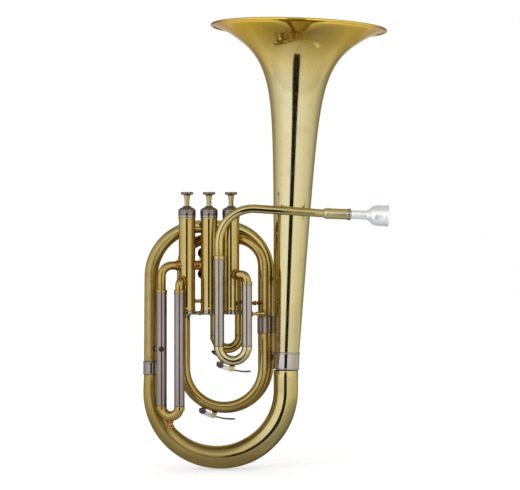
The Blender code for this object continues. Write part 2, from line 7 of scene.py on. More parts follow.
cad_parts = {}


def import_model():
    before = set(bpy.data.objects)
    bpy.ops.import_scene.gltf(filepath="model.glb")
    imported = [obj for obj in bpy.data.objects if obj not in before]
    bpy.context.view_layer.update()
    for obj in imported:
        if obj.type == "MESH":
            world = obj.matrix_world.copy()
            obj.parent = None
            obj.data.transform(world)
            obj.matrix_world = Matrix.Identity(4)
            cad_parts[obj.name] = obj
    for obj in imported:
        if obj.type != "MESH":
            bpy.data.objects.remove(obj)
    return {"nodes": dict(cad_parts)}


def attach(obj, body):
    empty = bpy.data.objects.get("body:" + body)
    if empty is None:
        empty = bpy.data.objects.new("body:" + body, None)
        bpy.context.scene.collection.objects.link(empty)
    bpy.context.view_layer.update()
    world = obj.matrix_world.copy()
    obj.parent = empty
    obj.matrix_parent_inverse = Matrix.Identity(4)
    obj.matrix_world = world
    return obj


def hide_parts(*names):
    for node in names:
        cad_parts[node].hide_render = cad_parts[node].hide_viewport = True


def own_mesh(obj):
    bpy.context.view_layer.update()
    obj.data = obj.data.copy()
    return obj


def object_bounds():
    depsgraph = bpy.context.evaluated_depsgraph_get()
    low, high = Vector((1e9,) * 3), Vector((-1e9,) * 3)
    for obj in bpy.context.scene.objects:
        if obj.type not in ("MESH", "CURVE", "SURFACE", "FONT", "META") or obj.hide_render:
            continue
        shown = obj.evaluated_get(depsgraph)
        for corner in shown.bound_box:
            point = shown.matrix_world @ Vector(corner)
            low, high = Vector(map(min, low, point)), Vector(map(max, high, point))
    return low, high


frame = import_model()
CAD_BOX = [[float(c) for c in p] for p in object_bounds()]

# ------------------------------------------------------------------ layout
# Layout millimetres, as in the CAD; world() turns them into the row's metres.
ORIGIN = np.array((-0.44, 14.0, 1.39))


def world(p):
    return (np.asarray(p, float) - ORIGIN) / 1000.0


def W(x, y, z):
    return Vector(world((x, y, z)))


VALVE_X = {1: -45.8, 2: -75.1, 3: -104.4}
BASE = np.array((27.9, 14.0, 146.3))
AXIS = np.array((0.0375, 0.0, 0.9993))
AXIS = AXIS / np.linalg.norm(AXIS)
BELL_L = 443.0
RIM_R = 118.3
LEFT = (-152.8, 16.0)
A_L, A_R, A_BOTTOM = (-107.6, 18.5), (-3.3, 13.0), 84.1
B_L, B_R, B_BOTTOM = (-112.4, 33.0), (4.0, 33.0), 81.1
CROSS_Z, TOP_Z = 308.6, 325.3
MAIN_Y, MAIN_L, MAIN_R = -20.0, -61.4, -24.6
TH_L, TH_R = (-137.7, -8.0), (-113.7, -17.0)
FI_L, FI_R = (-67.2, 17.5), (-34.3, 17.5)
SEC_X, SEC_HI, SEC_LO = -83.5, 290.0, 262.0
LEAD_END = np.array((76.2, -20.0, 342.3))
LEAD_DIR = np.array((1.0, 0.0, -0.0419))
LEAD_DIR = LEAD_DIR / np.linalg.norm(LEAD_DIR)
SLEEVE_R, BOW_R, LEG_R, VT_R = 6.9, 6.5, 5.6, 5.6
LINK_Z = 273.6

HORN = "horn"

# ------------------------------------------------------------------ materials
# Solder joints, and the bell rim's two ends as painted shade: points near which the lacquer is browner.
TARNISH_AND_SHADE_SPOTS = []
# Painted shade and dark reflection: the two big branches are darkest down their left side and under the bottom bow, and
# the bell's rim at its two ends.
PAINTED_SHADE = {
    "bottom_bow_tube": lambda c: np.maximum(np.clip((-0.055 - c[:, 0]) / 0.075, 0, 1),
                                            np.clip((0.058 - c[:, 2]) / 0.04, 0, 1)
                                            * np.clip((0.055 - c[:, 0]) / 0.07, 0, 1)),
    "top_bow_tube": lambda c: np.clip((-0.10 - c[:, 0]) / 0.05, 0, 1) * 0.8,
    "bell_flare": lambda c: np.clip((np.abs(c[:, 0] - 0.045) - 0.097) / 0.011, 0, 1),
}
# Where the lacquer has lost its gloss.
DULL = {
    "bottom_bow_tube": lambda c: np.clip((-0.042 - c[:, 0]) / 0.022, 0, 1),
    "top_bow_tube": lambda c: np.clip((-0.09 - c[:, 0]) / 0.05, 0, 1),
    "leadpipe_tube": lambda c: np.clip((c[:, 0] - 0.012) / 0.02, 0, 1),
    "receiver_socket": lambda c: np.ones(len(c)),
    "inner_bow_front_tube": lambda c: 0.25 + 0.45 * np.clip((0.17 - c[:, 2]) / 0.06, 0, 1),
    "inner_bow_rear_tube": lambda c: 0.25 + 0.45 * np.clip((0.17 - c[:, 2]) / 0.06, 0, 1),
    "crossover_bow_tube": lambda c: np.full(len(c), 0.3),
    "third_bow": lambda c: np.full(len(c), 0.4),
    "main_bow": lambda c: 0.45 * np.clip((c[:, 0] + 0.050) / 0.02, 0, 1),
}


def nodes_of(name):
    m = bpy.data.materials.new(name)
    m.use_nodes = True
    nt = m.node_tree
    for n in list(nt.nodes):
        nt.nodes.remove(n)
    out = nt.nodes.new("ShaderNodeOutputMaterial")
    p = nt.nodes.new("ShaderNodeBsdfPrincipled")
    nt.links.new(p.outputs[0], out.inputs[0])
    return m, nt, p


def mapped_noise(nt, scale, detail=3.0, stretch=(1, 1, 1), rough=0.5):
    tc = nt.nodes.new("ShaderNodeTexCoord")
    mp = nt.nodes.new("ShaderNodeMapping")
    mp.inputs["Scale"].default_value = stretch
    nz = nt.nodes.new("ShaderNodeTexNoise")
    nz.inputs["Scale"].default_value = scale
    nz.inputs["Detail"].default_value = detail
    nz.inputs["Roughness"].default_value = rough
    nt.links.new(tc.outputs["Object"], mp.inputs[0])
    nt.links.new(mp.outputs[0], nz.inputs["Vector"])
    return nz.outputs["Fac"]


def remap(nt, value, a, b, c, d, clamp=True):
    r = nt.nodes.new("ShaderNodeMapRange")
    r.clamp = clamp
    for i, v in zip((1, 2, 3, 4), (a, b, c, d)):
        r.inputs[i].default_value = v
    nt.links.new(value, r.inputs[0])
    return r.outputs[0]


def mix_colour(nt, fac, a, b, blend='MIX'):
    m = nt.nodes.new("ShaderNodeMix")
    m.data_type = 'RGBA'
    m.blend_type = blend
    if isinstance(fac, float):
        m.inputs[0].default_value = fac
    else:
        nt.links.new(fac, m.inputs[0])
    for sock, v in ((m.inputs[6], a), (m.inputs[7], b)):
        if isinstance(v, tuple):
            sock.default_value = (*v, 1.0)
        else:
            nt.links.new(v, sock)
    return m.outputs[2]


def math_node(nt, op, a, b):
    m = nt.nodes.new("ShaderNodeMath")
    m.operation = op
    for sock, v in ((m.inputs[0], a), (m.inputs[1], b)):
        if isinstance(v, (int, float)):
            sock.default_value = v
        else:
            nt.links.new(v, sock)
    return m.outputs[0]


def metal(name, base, warm, dark, rough=(0.06, 0.14), coat=0.5, tarnish_and_shade=0.85, edge=(0.7, 0.55, 0.3),
          coat_tint=(1.0, 0.95, 0.82), bump=0.25, painted_shade=(0.66, 0.55, 0.32), flare=None):
    """Polished metal: a broad tone drift, hand-polish smears in the roughness, faint
    draw lines, small spots, browning near the soldered joints, painted shade, and on the bell a painted reflection near
    the rim."""
    m, nt, p = nodes_of(name)
    drift = mapped_noise(nt, 11.0, 3.0)
    cloud = mapped_noise(nt, 55.0, 5.0, rough=0.6)
    fine = mapped_noise(nt, 900.0, 2.0, (1, 1, 0.04))
    spots = mapped_noise(nt, 260.0, 2.0)
    col = mix_colour(nt, remap(nt, drift, 0.32, 0.68, 0.0, 1.0), base, warm)
    # painted reflection: the bell turns a deeper gold towards the rim, standing in for its reflection of the floor and
    # the horn
    if flare:
        tc = nt.nodes.new("ShaderNodeTexCoord")
        sp = nt.nodes.new("ShaderNodeSeparateXYZ")
        nt.links.new(tc.outputs["Object"], sp.inputs[0])
        up = remap(nt, sp.outputs["Z"], 0.515, 0.585, 0.0, 1.0)
        col = mix_colour(nt, up, col, mix_colour(nt, remap(nt, drift, 0.35, 0.65, 0, 1), flare[0], flare[1]))
    col = mix_colour(nt, remap(nt, cloud, 0.56, 0.74, 0.0, 0.22), col, dark)
    # browning near the solder joints, and painted shade at the bell rim's two ends
    att = nt.nodes.new("ShaderNodeAttribute")
    att.attribute_name = "tarnish_and_shade"
    near = math_node(nt, 'MULTIPLY', att.outputs["Fac"], remap(nt, cloud, 0.3, 0.6, 0.55, 1.15))
    near = math_node(nt, 'MULTIPLY', near, tarnish_and_shade)
    col = mix_colour(nt, near, col, dark)
    spot = remap(nt, spots, 0.70, 0.76, 0.0, 0.28)
    col = mix_colour(nt, spot, col, dark)
    # painted shade and dark reflection, stored on the mesh as a second attribute
    shade_att = nt.nodes.new("ShaderNodeAttribute")
    shade_att.attribute_name = "painted_shade"
    shade_weight = math_node(nt, 'MULTIPLY', shade_att.outputs["Fac"], remap(nt, cloud, 0.3, 0.65, 0.85, 1.1))
    col = mix_colour(nt, shade_weight, col, painted_shade, 'MULTIPLY')
    nt.links.new(col, p.inputs["Base Color"])
    p.inputs["Metallic"].default_value = 1.0
    r = remap(nt, cloud, 0.3, 0.7, rough[0], rough[1])
    r = math_node(nt, 'ADD', r, math_node(nt, 'MULTIPLY', near, 0.12))
    dull = nt.nodes.new("ShaderNodeAttribute")
    dull.attribute_name = "dull"
    r = math_node(nt, 'ADD', r, math_node(nt, 'MULTIPLY', dull.outputs["Fac"], 0.24))
    r = math_node(nt, 'ADD', r, remap(nt, fine, 0.35, 0.65, -0.012, 0.012))
    nt.links.new(r, p.inputs["Roughness"])
    p.inputs["Specular Tint"].default_value = (*edge, 1.0)
    p.inputs["Coat Weight"].default_value = coat
    p.inputs["Coat Roughness"].default_value = 0.045
    p.inputs["Coat Tint"].default_value = (*coat_tint, 1.0)
    b = nt.nodes.new("ShaderNodeBump")
    b.inputs["Strength"].default_value = bump
    b.inputs["Distance"].default_value = 0.00003
    h = math_node(nt, 'ADD', math_node(nt, 'MULTIPLY', cloud, 1.0), math_node(nt, 'MULTIPLY', fine, 0.10))
    nt.links.new(h, b.inputs["Height"])
    nt.links.new(b.outputs[0], p.inputs["Normal"])
    return m


def soft(name, a, b, scale, rough=0.9, sheen=0.4, bump=0.6, dist=0.0002):
    """Felt or cork: mottled, dull, fuzzy."""
    m, nt, p = nodes_of(name)
    n1 = mapped_noise(nt, scale, 6.0, rough=0.7)
    n2 = mapped_noise(nt, scale * 4, 2.0)
    nt.links.new(mix_colour(nt, remap(nt, n1, 0.35, 0.65, 0, 1), a, b), p.inputs["Base Color"])
    p.inputs["Roughness"].default_value = rough
    p.inputs["Sheen Weight"].default_value = sheen
    bm = nt.nodes.new("ShaderNodeBump")
    bm.inputs["Strength"].default_value = bump
    bm.inputs["Distance"].default_value = dist
    nt.links.new(n2, bm.inputs["Height"])
    nt.links.new(bm.outputs[0], p.inputs["Normal"])
    return m


def pearl(name):
    m, nt, p = nodes_of(name)
    n1 = mapped_noise(nt, 330.0, 4.0, (1, 1, 3), 0.65)
    n2 = mapped_noise(nt, 120.0, 2.0)
    col = mix_colour(nt, remap(nt, n1, 0.4, 0.6, 0, 1), (0.86, 0.85, 0.82), (0.74, 0.80, 0.80))
    col = mix_colour(nt, remap(nt, n2, 0.45, 0.65, 0, 0.6), col, (0.88, 0.78, 0.80))
    nt.links.new(col, p.inputs["Base Color"])
    p.inputs["Roughness"].default_value = 0.16
    p.inputs["Coat Weight"].default_value = 0.8
    p.inputs["Coat Roughness"].default_value = 0.03
    p.inputs["Subsurface Weight"].default_value = 0.15
    p.inputs["Subsurface Scale"].default_value = 0.002
    return m


BRASS = metal("lacquered_brass", (0.61, 0.545, 0.26), (0.59, 0.485, 0.17), (0.33, 0.16, 0.03),
              edge=(0.5, 0.36, 0.13))
CASING_BRASS = metal("casing_brass", (0.565, 0.455, 0.175), (0.50, 0.37, 0.10), (0.27, 0.12, 0.02),
                     edge=(0.40, 0.26, 0.08))
# painted shade: a darker copy of the lacquered brass for the tubes, slides and bosses tucked in among the others
SHADED_BRASS = metal("shaded_tube_brass", (0.52, 0.40, 0.135), (0.44, 0.295, 0.06), (0.24, 0.105, 0.02),
                    edge=(0.36, 0.22, 0.06))
# the flare colours are a painted reflection, deeper gold near the rim
BELL_BRASS = metal("bell_brass", (0.67, 0.615, 0.37), (0.65, 0.57, 0.275), (0.30, 0.16, 0.04), tarnish_and_shade=0.8,
                   edge=(0.50, 0.38, 0.14), flare=((0.92, 0.68, 0.13), (0.88, 0.60, 0.05)))
AGED = metal("solder_brass", (0.50, 0.285, 0.06), (0.42, 0.205, 0.035), (0.22, 0.09, 0.015),
             rough=(0.16, 0.30), coat=0.2, tarnish_and_shade=0.3, bump=0.5, edge=(0.4, 0.2, 0.06))
NICKEL = metal("nickel_silver", (0.43, 0.40, 0.345), (0.395, 0.36, 0.295), (0.24, 0.19, 0.15),
               rough=(0.06, 0.13), coat=0.1, tarnish_and_shade=0.5, edge=(0.62, 0.58, 0.54), coat_tint=(1, 1, 1))
BRIGHT_NICKEL = metal("ferrule_nickel", (0.53, 0.49, 0.43), (0.49, 0.44, 0.36), (0.30, 0.25, 0.20),
                      rough=(0.05, 0.12), coat=0.1, tarnish_and_shade=0.5, edge=(0.7, 0.66, 0.6), coat_tint=(1, 1, 1))
# painted shade: a darker copy of the nickel silver for the sleeves and ferrules that sit in shade
SHADED_NICKEL = metal("shaded_nickel", (0.365, 0.315, 0.295), (0.30, 0.245, 0.20), (0.20, 0.14, 0.10),
                    rough=(0.07, 0.15), coat=0.1, tarnish_and_shade=0.5, edge=(0.5, 0.42, 0.38), coat_tint=(1, 1, 1))
DARK_NICKEL = metal("valve_cap_nickel", (0.30, 0.255, 0.225), (0.25, 0.20, 0.16), (0.12, 0.085, 0.07),
                    rough=(0.10, 0.2), coat=0.1, tarnish_and_shade=0.4, edge=(0.6, 0.58, 0.56), coat_tint=(1, 1, 1))
PLATE = metal("mouthpiece_plate", (0.97, 0.98, 1.0), (0.95, 0.97, 1.0), (0.7, 0.7, 0.7),
              rough=(0.30, 0.38), coat=0.0, tarnish_and_shade=0.3, edge=(0.95, 0.95, 0.95), coat_tint=(1, 1, 1))
BROWNED = metal("browned_brass", (0.085, 0.045, 0.022), (0.06, 0.03, 0.018), (0.03, 0.015, 0.008),
                rough=(0.2, 0.35), coat=0.25, tarnish_and_shade=0.3, edge=(0.3, 0.2, 0.12))
SILVER = metal("silver_plate", (0.80, 0.81, 0.82), (0.76, 0.76, 0.77), (0.45, 0.43, 0.40),
               rough=(0.05, 0.10), coat=0.0, tarnish_and_shade=0.3, edge=(0.9, 0.9, 0.9), coat_tint=(1, 1, 1))
STEEL = metal("spring_steel", (0.42, 0.42, 0.43), (0.38, 0.38, 0.40), (0.18, 0.17, 0.16),
              rough=(0.2, 0.32), coat=0.0, tarnish_and_shade=0.2, edge=(0.7, 0.7, 0.7), coat_tint=(1, 1, 1))
KEY_PLATE = metal("key_plate", (0.86, 0.86, 0.86), (0.80, 0.79, 0.77), (0.45, 0.42, 0.38),
                  rough=(0.42, 0.52), coat=0.0, tarnish_and_shade=0.4, edge=(0.9, 0.9, 0.9), coat_tint=(1, 1, 1))
SATIN_BRASS = metal("satin_brass", (0.74, 0.60, 0.30), (0.66, 0.48, 0.19), (0.30, 0.13, 0.03),
                    rough=(0.40, 0.52), coat=0.15, tarnish_and_shade=0.5, edge=(0.5, 0.36, 0.13))
DARK_STEEL = metal("cup_steel", (0.14, 0.135, 0.14), (0.11, 0.105, 0.11), (0.05, 0.045, 0.04),
                   rough=(0.16, 0.26), coat=0.0, tarnish_and_shade=0.2, edge=(0.5, 0.5, 0.5), coat_tint=(1, 1, 1))
PISTON_METAL = metal("lapped_nickel", (0.60, 0.58, 0.57), (0.57, 0.55, 0.53), (0.35, 0.32, 0.29),
                     rough=(0.16, 0.26), coat=0.0, tarnish_and_shade=0.2, edge=(0.8, 0.8, 0.8), coat_tint=(1, 1, 1))
FELT = soft("felt", (0.085, 0.06, 0.045), (0.13, 0.10, 0.075), 900.0)
CORK = soft("cork", (0.36, 0.20, 0.09), (0.20, 0.095, 0.04), 700.0, 0.85, 0.1)
PEARL = pearl("mother_of_pearl")


# ------------------------------------------------------------------ mesh tools
def finish_mesh(name, verts, faces, mat, body, replaces=(), sharp=38.0, tarnish_reach=7.0):
    """Make the object, weld it, shade it, paint the tarnish attribute, ride it."""
    me = bpy.data.meshes.new(name)
    me.from_pydata([tuple(v) for v in verts], [], faces)
    me.validate()
    bm = bmesh.new()
    bm.from_mesh(me)
    bmesh.ops.remove_doubles(bm, verts=bm.verts, dist=1e-7)
    bmesh.ops.recalc_face_normals(bm, faces=bm.faces)
    bm.to_mesh(me)
    bm.free()
    co = np.empty(len(me.vertices) * 3)
    me.vertices.foreach_get("co", co)
    co = co.reshape(-1, 3)
    val = np.zeros(len(co))
    # browning near joints; at the bell rim's ends this is painted shade
    for jp, reach in TARNISH_AND_SHADE_SPOTS:
        d = np.linalg.norm(co - jp, axis=1)
        val = np.maximum(val, np.clip(1.0 - d / (reach / 1000.0), 0, 1) ** 1.3)
    att = me.attributes.new("tarnish_and_shade", 'FLOAT', 'POINT')
    att.data.foreach_set("value", val)
    # painted shade: darker where the branches and the rim's ends stand in for dark reflections
    att = me.attributes.new("painted_shade", 'FLOAT', 'POINT')
    att.data.foreach_set("value", np.clip(PAINTED_SHADE[name](co), 0, 1) if name in PAINTED_SHADE else np.zeros(len(co)))
    att = me.attributes.new("dull", 'FLOAT', 'POINT')
    att.data.foreach_set("value", np.clip(DULL[name](co), 0, 1) if name in DULL else np.zeros(len(co)))
    me.shade_smooth()
    me.set_sharp_from_angle(angle=math.radians(sharp))
    me.materials.append(mat)
    ob = bpy.data.objects.new(name, me)
    bpy.context.scene.collection.objects.link(ob)
    place(ob, body, replaces)
    return ob


def place(ob, body, replaces=()):
    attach(ob, body)
    if replaces:
        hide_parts(*replaces)


def tarnish_and_shade_spot(x, y, z, reach=9.0):
    TARNISH_AND_SHADE_SPOTS.append((world((x, y, z)), reach))


def unit(v):
    v = np.asarray(v, float)
    return v / np.linalg.norm(v)


def turn_about(v, axis, a):
    return v * math.cos(a) + np.cross(axis, v) * math.sin(a) + axis * np.dot(axis, v) * (1 - math.cos(a))


def route(corners, step=4.0, run=12.0):
    """Points along straight runs joined by round bends, in layout millimetres."""
    key = [np.array(corners[0][:3], float)]
    for i in range(1, len(corners) - 1):
        p = np.array(corners[i][:3], float)
        r = corners[i][3]
        a = unit(np.array(corners[i - 1][:3]) - p)
        b = unit(np.array(corners[i + 1][:3]) - p)
        turn = math.pi - math.acos(np.clip(a @ b, -1, 1))
        t = r * math.tan(turn / 2)
        start = p + a * t
        centre = p + unit(a + b) * (r / math.cos(turn / 2))
        arm = start - centre
        ax = unit(np.cross(arm, p + b * t - centre))
        n = max(3, int(round(math.degrees(turn) / step)))
        for k in range(n + 1):
            q = centre + turn_about(arm, ax, turn * k / n)
            if np.linalg.norm(q - key[-1]) > 0.02:
                key.append(q)
    end = np.array(corners[-1][:3], float)
    if np.linalg.norm(end - key[-1]) > 0.02:
        key.append(end)
    out = [key[0]]
    for a, b in zip(key, key[1:]):
        length = np.linalg.norm(b - a)
        n = max(1, int(length / run))
        for k in range(1, n + 1):
            out.append(a + (b - a) * k / n)
    return np.array(out)


def frames(pts):
    """Tangents and two side vectors carried along a path without twist."""
    n = len(pts)
    tan = np.zeros((n, 3))
    tan[0] = unit(pts[1] - pts[0])
    tan[-1] = unit(pts[-1] - pts[-2])
    for i in range(1, n - 1):
        tan[i] = unit(unit(pts[i] - pts[i - 1]) + unit(pts[i + 1] - pts[i]))
    ref = np.array((0.0, 1.0, 0.0)) if abs(tan[0][1]) < 0.9 else np.array((1.0, 0.0, 0.0))
    u = unit(ref - tan[0] * (ref @ tan[0]))
    us = [u]
    for i in range(1, n):
        u = us[-1] - tan[i] * (us[-1] @ tan[i])
        us.append(unit(u))
    us = np.array(us)
    return tan, us, np.cross(tan, us)


def fractions(pts):
    d = np.r_[0, np.cumsum(np.linalg.norm(np.diff(pts, axis=0), axis=1))]
    return d / d[-1], d


def tube(name, pts, radius, wall, mat, body, replaces=(), sides=48, round_end=0.25):
    """A hollow tube along pts, with softly rounded lips at both ends."""
    pts = np.asarray(pts, float)
    t, d = fractions(pts)
    tan, us, vs = frames(pts)
    rad = np.array([radius(x) if callable(radius) else radius for x in t], float)
    ang = np.linspace(0, 2 * math.pi, sides, endpoint=False)
    rings = []

    def ring_at(c, u, v, r):
        rings.append(c + r * (np.cos(ang)[:, None] * u + np.sin(ang)[:, None] * v))
    e = min(round_end, wall * 0.45)
    # outside, then round the far lip, back along the inside, and round the near lip
    ring_at(pts[0], us[0], vs[0], rad[0] - e)
    ring_at(pts[0] + tan[0] * e * 0.3, us[0], vs[0], rad[0] - e * 0.3)
    ring_at(pts[0] + tan[0] * e, us[0], vs[0], rad[0])
    for i in range(1, len(pts) - 1):
        ring_at(pts[i], us[i], vs[i], rad[i])
    ring_at(pts[-1] - tan[-1] * e, us[-1], vs[-1], rad[-1])
    ring_at(pts[-1] - tan[-1] * e * 0.3, us[-1], vs[-1], rad[-1] - e * 0.3)
    ring_at(pts[-1], us[-1], vs[-1], rad[-1] - e)
    ring_at(pts[-1], us[-1], vs[-1], rad[-1] - wall)
    for i in range(len(pts) - 2, 0, -1):
        ring_at(pts[i], us[i], vs[i], rad[i] - wall)
    ring_at(pts[0], us[0], vs[0], rad[0] - wall)
    verts = world(np.concatenate(rings))
    faces = []
    m = len(rings)
    for i in range(m):
        j = (i + 1) % m
        for k in range(sides):
            l = (k + 1) % sides
            faces.append((i * sides + k, i * sides + l, j * sides + l, j * sides + k))
    return finish_mesh(name, verts, faces, mat, body, replaces)


def lathe(name, profile, origin, axis, mat, body, replaces=(), sides=64, closed=False, ridges=None, sharp=38.0,
          rise=None):
    """Turned piece.  profile: (radius, height) pairs from the top down the outside;
    closed joins last to first.  ridges: (from, to, count, depth) cuts fine
    grooves where the profile's index is in from..to.  rise(r, y) lifts points along
    the axis."""
    origin = np.asarray(origin, float)
    ax = unit(axis)
    ref = np.array((0.0, 1.0, 0.0)) if abs(ax[1]) < 0.9 else np.array((1.0, 0.0, 0.0))
    u = unit(ref - ax * (ref @ ax))
    v = np.cross(ax, u)
    if ridges:
        sides = ridges[2] * 2
    ang = np.linspace(0, 2 * math.pi, sides, endpoint=False)
    verts, index = [], []
    for i, (r, h) in enumerate(profile):
        c = origin + ax * h
        if r < 1e-6:
            index.append([len(verts)] * sides)
            verts.append(c)
        else:
            rr = np.full(sides, float(r))
            if ridges and ridges[0] <= i <= ridges[1]:
                rr[::2] -= ridges[3]
            index.append(list(range(len(verts), len(verts) + sides)))
            ring = c + rr[:, None] * (np.cos(ang)[:, None] * u + np.sin(ang)[:, None] * v)
            if rise:
                ring = ring + np.array([rise(float(r), float(r) * math.cos(q)) for q in ang])[:, None] * ax
            verts.extend(ring)
    faces = []
    m = len(profile)
    for i in range(m if closed else m - 1):
        a, b = index[i], index[(i + 1) % m]
        for k in range(sides):
            l = (k + 1) % sides
            f = []
            for q in (a[k], a[l], b[l], b[k]):
                if q not in f:
                    f.append(q)
            if len(f) > 2:
                faces.append(tuple(f))
    return finish_mesh(name, world(np.array(verts)), faces, mat, body, replaces, sharp)


def rounded(profile, r=0.3, steps=3):
    """Round the corners of an open or closed (radius, height) outline."""
    out = []
    n = len(profile)
    for i, p in enumerate(profile):
        p = np.array(p, float)
        if i in (0, n - 1):
            out.append(tuple(p))
            continue
        a, b = np.array(profile[i - 1], float), np.array(profile[i + 1], float)
        la, lb = np.linalg.norm(a - p), np.linalg.norm(b - p)
        if la < 1e-6 or lb < 1e-6 or p[0] < 1e-6:
            out.append(tuple(p))
            continue
        k = min(r, la * 0.4, lb * 0.4)
        s, e = p + (a - p) / la * k, p + (b - p) / lb * k
        for j in range(steps + 1):
            t = j / steps
            out.append(tuple((1 - t) ** 2 * s + 2 * t * (1 - t) * p + t ** 2 * e))
    return out


def band(name, r_out, r_in, h0, h1, origin, axis, mat, body, replaces=(), beads=0.0, bead_w=1.6, sides=64,
         grooves=()):
    """A sleeve or ferrule.  beads raises a round ring at each end."""
    prof = []
    if beads:
        for j in range(9):
            a = math.pi * j / 8
            prof.append((r_out + beads * math.sin(a), h1 - bead_w * (1 - math.cos(a)) / 2))
        prof.append((r_out, h1 - bead_w - 0.2))
        prof.append((r_out, h0 + bead_w + 0.2))
        for j in range(9):
            a = math.pi * j / 8
            prof.append((r_out + beads * math.sin(a), h0 + bead_w * (1 + math.cos(a)) / 2))
    else:
        c = 0.25
        prof = [(r_out - c, h1), (r_out - 0.07, h1 - 0.07), (r_out, h1 - c)]
        for g in sorted(grooves, reverse=True):
            prof += [(r_out, g + 0.35), (r_out - 0.2, g + 0.12), (r_out - 0.2, g - 0.12), (r_out, g - 0.35)]
        prof += [(r_out, h0 + c), (r_out - 0.07, h0 + 0.07), (r_out - c, h0)]
    prof += [(r_in, h0), (r_in, h1)]
    return lathe(name, prof, origin, axis, mat, body, replaces, sides, True)


def knuckle(name, c, axis, r, mat, body, h=2.4, swell=0.8):
    """A rounded solder collar round a tube, centred at c."""
    prof = []
    for j in range(13):
        a = math.pi * j / 12
        prof.append((r + swell * math.sin(a) ** 0.8, h / 2 * math.cos(a)))
    prof += [(r - 0.35, -h / 2), (r - 0.35, h / 2)]
    return lathe(name, prof, c, axis, mat, body, (), 48, True)


def strut(name, a, b, mat, body, replaces=(), r=1.8, foot=4.2, ball=True):
    """A turned stay: thin flanges at both ends, waisted cones and a centre bead."""
    a, b = np.asarray(a, float), np.asarray(b, float)
    h = np.linalg.norm(b - a)
    t = min(0.8, h * 0.15)
    cone = min(4.0, h * 0.36)
    prof = [(0, h), (foot - 0.2, h), (foot, h - 0.15), (foot, h - t + 0.1), (foot - 0.2, h - t)]
    for j in range(7):
        q = j / 6
        prof.append((r + (foot * 0.62 - r) * (1 - q) ** 2, h - t - (cone - t) * q))
    if ball and h > 9:
        mid = h / 2
        for j in range(9):
            q = math.pi * j / 8
            prof.append((r + 0.9 * math.sin(q), mid + 1.6 * math.cos(q)))
    for j in range(7):
        q = 1 - j / 6
        prof.append((r + (foot * 0.62 - r) * (1 - q) ** 2, t + (cone - t) * q))
    prof += [(foot - 0.2, t), (foot, t - 0.1), (foot, 0.15), (foot - 0.2, 0), (0, 0)]
    return lathe(name, prof, a, b - a, mat, body, replaces, 32)


def polar(n, angle, r, z):
    a = math.radians(angle)
    return np.array((VALVE_X[n] + r * math.cos(a), r * math.sin(a), z))


def bearing(n, p):
    return math.degrees(math.atan2(p[1], p[0] - VALVE_X[n]))


# ------------------------------------------------------------------ camera
cam = bpy.data.cameras.new("camera")
cam.sensor_width = 36.0
cam.sensor_fit = 'HORIZONTAL'
cam.lens = 119.7
cam.clip_start = 0.05
cam.clip_end = 60.0
cam_ob = bpy.data.objects.new("camera", cam)
bpy.context.scene.collection.objects.link(cam_ob)
cam_ob.location = W(-7.3, -2300.0, 300.6)
cam_ob.rotation_euler = (math.radians(90), 0, 0)
bpy.context.scene.camera = cam_ob

# ------------------------------------------------------------------ joints that brown the lacquer, and painted shade at the bell rim's two ends
MAIN_PORT_Z, MAIN_BOSS = 261.5, -56.5
T_HI, T_LO = 273.3, 252.7
F_HI, F_LO = 289.0, 257.0
for p, reach in ((polar(1, MAIN_BOSS, 12, MAIN_PORT_Z), 11), (polar(3, bearing(3, TH_R), 12, T_LO), 11),
                 (polar(3, bearing(3, TH_L), 12, T_HI), 8), ((*A_L, 208), 9), ((-106, 11, 235), 12),
                 ((-71.5, 11, 210), 9), ((-28, -14, 212), 9), ((6, 30, 255), 13), ((6, 30, 150), 13),
                 ((12, 5, 209.5), 8), ((-19, -16, 209.5), 7), ((-19, -14, 223), 7), ((-8, 8, 223), 9),
                 ((-145, 4, 162.5), 8), ((*A_R, 205), 8), ((*A_R, 182), 8), ((*B_R, 205), 8), ((*B_R, 182), 8),
                 ((-126, -12, 66), 9), ((-89.7, 0, LINK_Z), 9), ((-60.4, 0, LINK_Z), 9), ((-78, 22, 310), 12),
                 ((-62, 18, 178), 10), ((-39, 18, 178), 10),
                 # the last two points are the bell rim's ends: painted shade, not joints
                 ((-74.5, 12, 594), 34), ((163.5, 12, 585), 30)):
    tarnish_and_shade_spot(*p, reach)

# ------------------------------------------------------------------ bell
def bell_r(d):
    return 16.6 + 0.0407 * (BELL_L - d) + 84.2 * math.exp(-((max(d, 0.0) / 29.0) ** 0.88))


def bell_centre(z):
    along = (z - BASE[2]) / AXIS[2]
    return BASE + AXIS * along, bell_r(BELL_L - along)


FERRULE_TOP, FERRULE_BOTTOM = 11.0, -11.8
prof = []
# rolled rim bead, then the wall outside and back up inside
for j in range(16):
    a = math.radians(165 - j * 22)
    prof.append((RIM_R - 1.75 + 1.75 * math.cos(a), BELL_L - 1.75 + 1.75 * math.sin(a)))
depths = [4.6 + (BELL_L - FERRULE_TOP - 0.3 - 4.6) * (k / 74) ** 2.1 for k in range(75)]
lip = [(113.2, -2.35), (111.2, -2.6), (109.2, -2.95), (107.2, -3.42), (105.4, -3.95)]
prof += [(r, BELL_L + h) for r, h in lip]
prof += [(bell_r(d), BELL_L - d) for d in depths]
prof += [(bell_r(d) - 0.8, BELL_L - d) for d in reversed(depths)]
prof += [(r, BELL_L + h + 0.8) for r, h in reversed(lip)]


def rim_rise(r, y):
    """The lip turns up a little beyond the flare, and leans towards the front."""
    return 3.3 * min(1.0, max(0.0, (r - 78.0) / 36.0)) + 0.020 * y * min(1.0, max(0.0, (r - 30.0) / 30.0))


LEANS = rim_rise if CAD_BOX[1][2] > 0.594 else None
# painted shade: the bead is darkened at the rim's two ends, where it turns edge-on
for side in (-1, 1):
    tarnish_and_shade_spot(44.5 + side * 117.5, 14.0, 588.2 - side * 3.5, 20.0)
lathe("bell_flare", prof, BASE, AXIS, BELL_BRASS, HORN, ("bell",), 176, True, sharp=50, rise=LEANS)

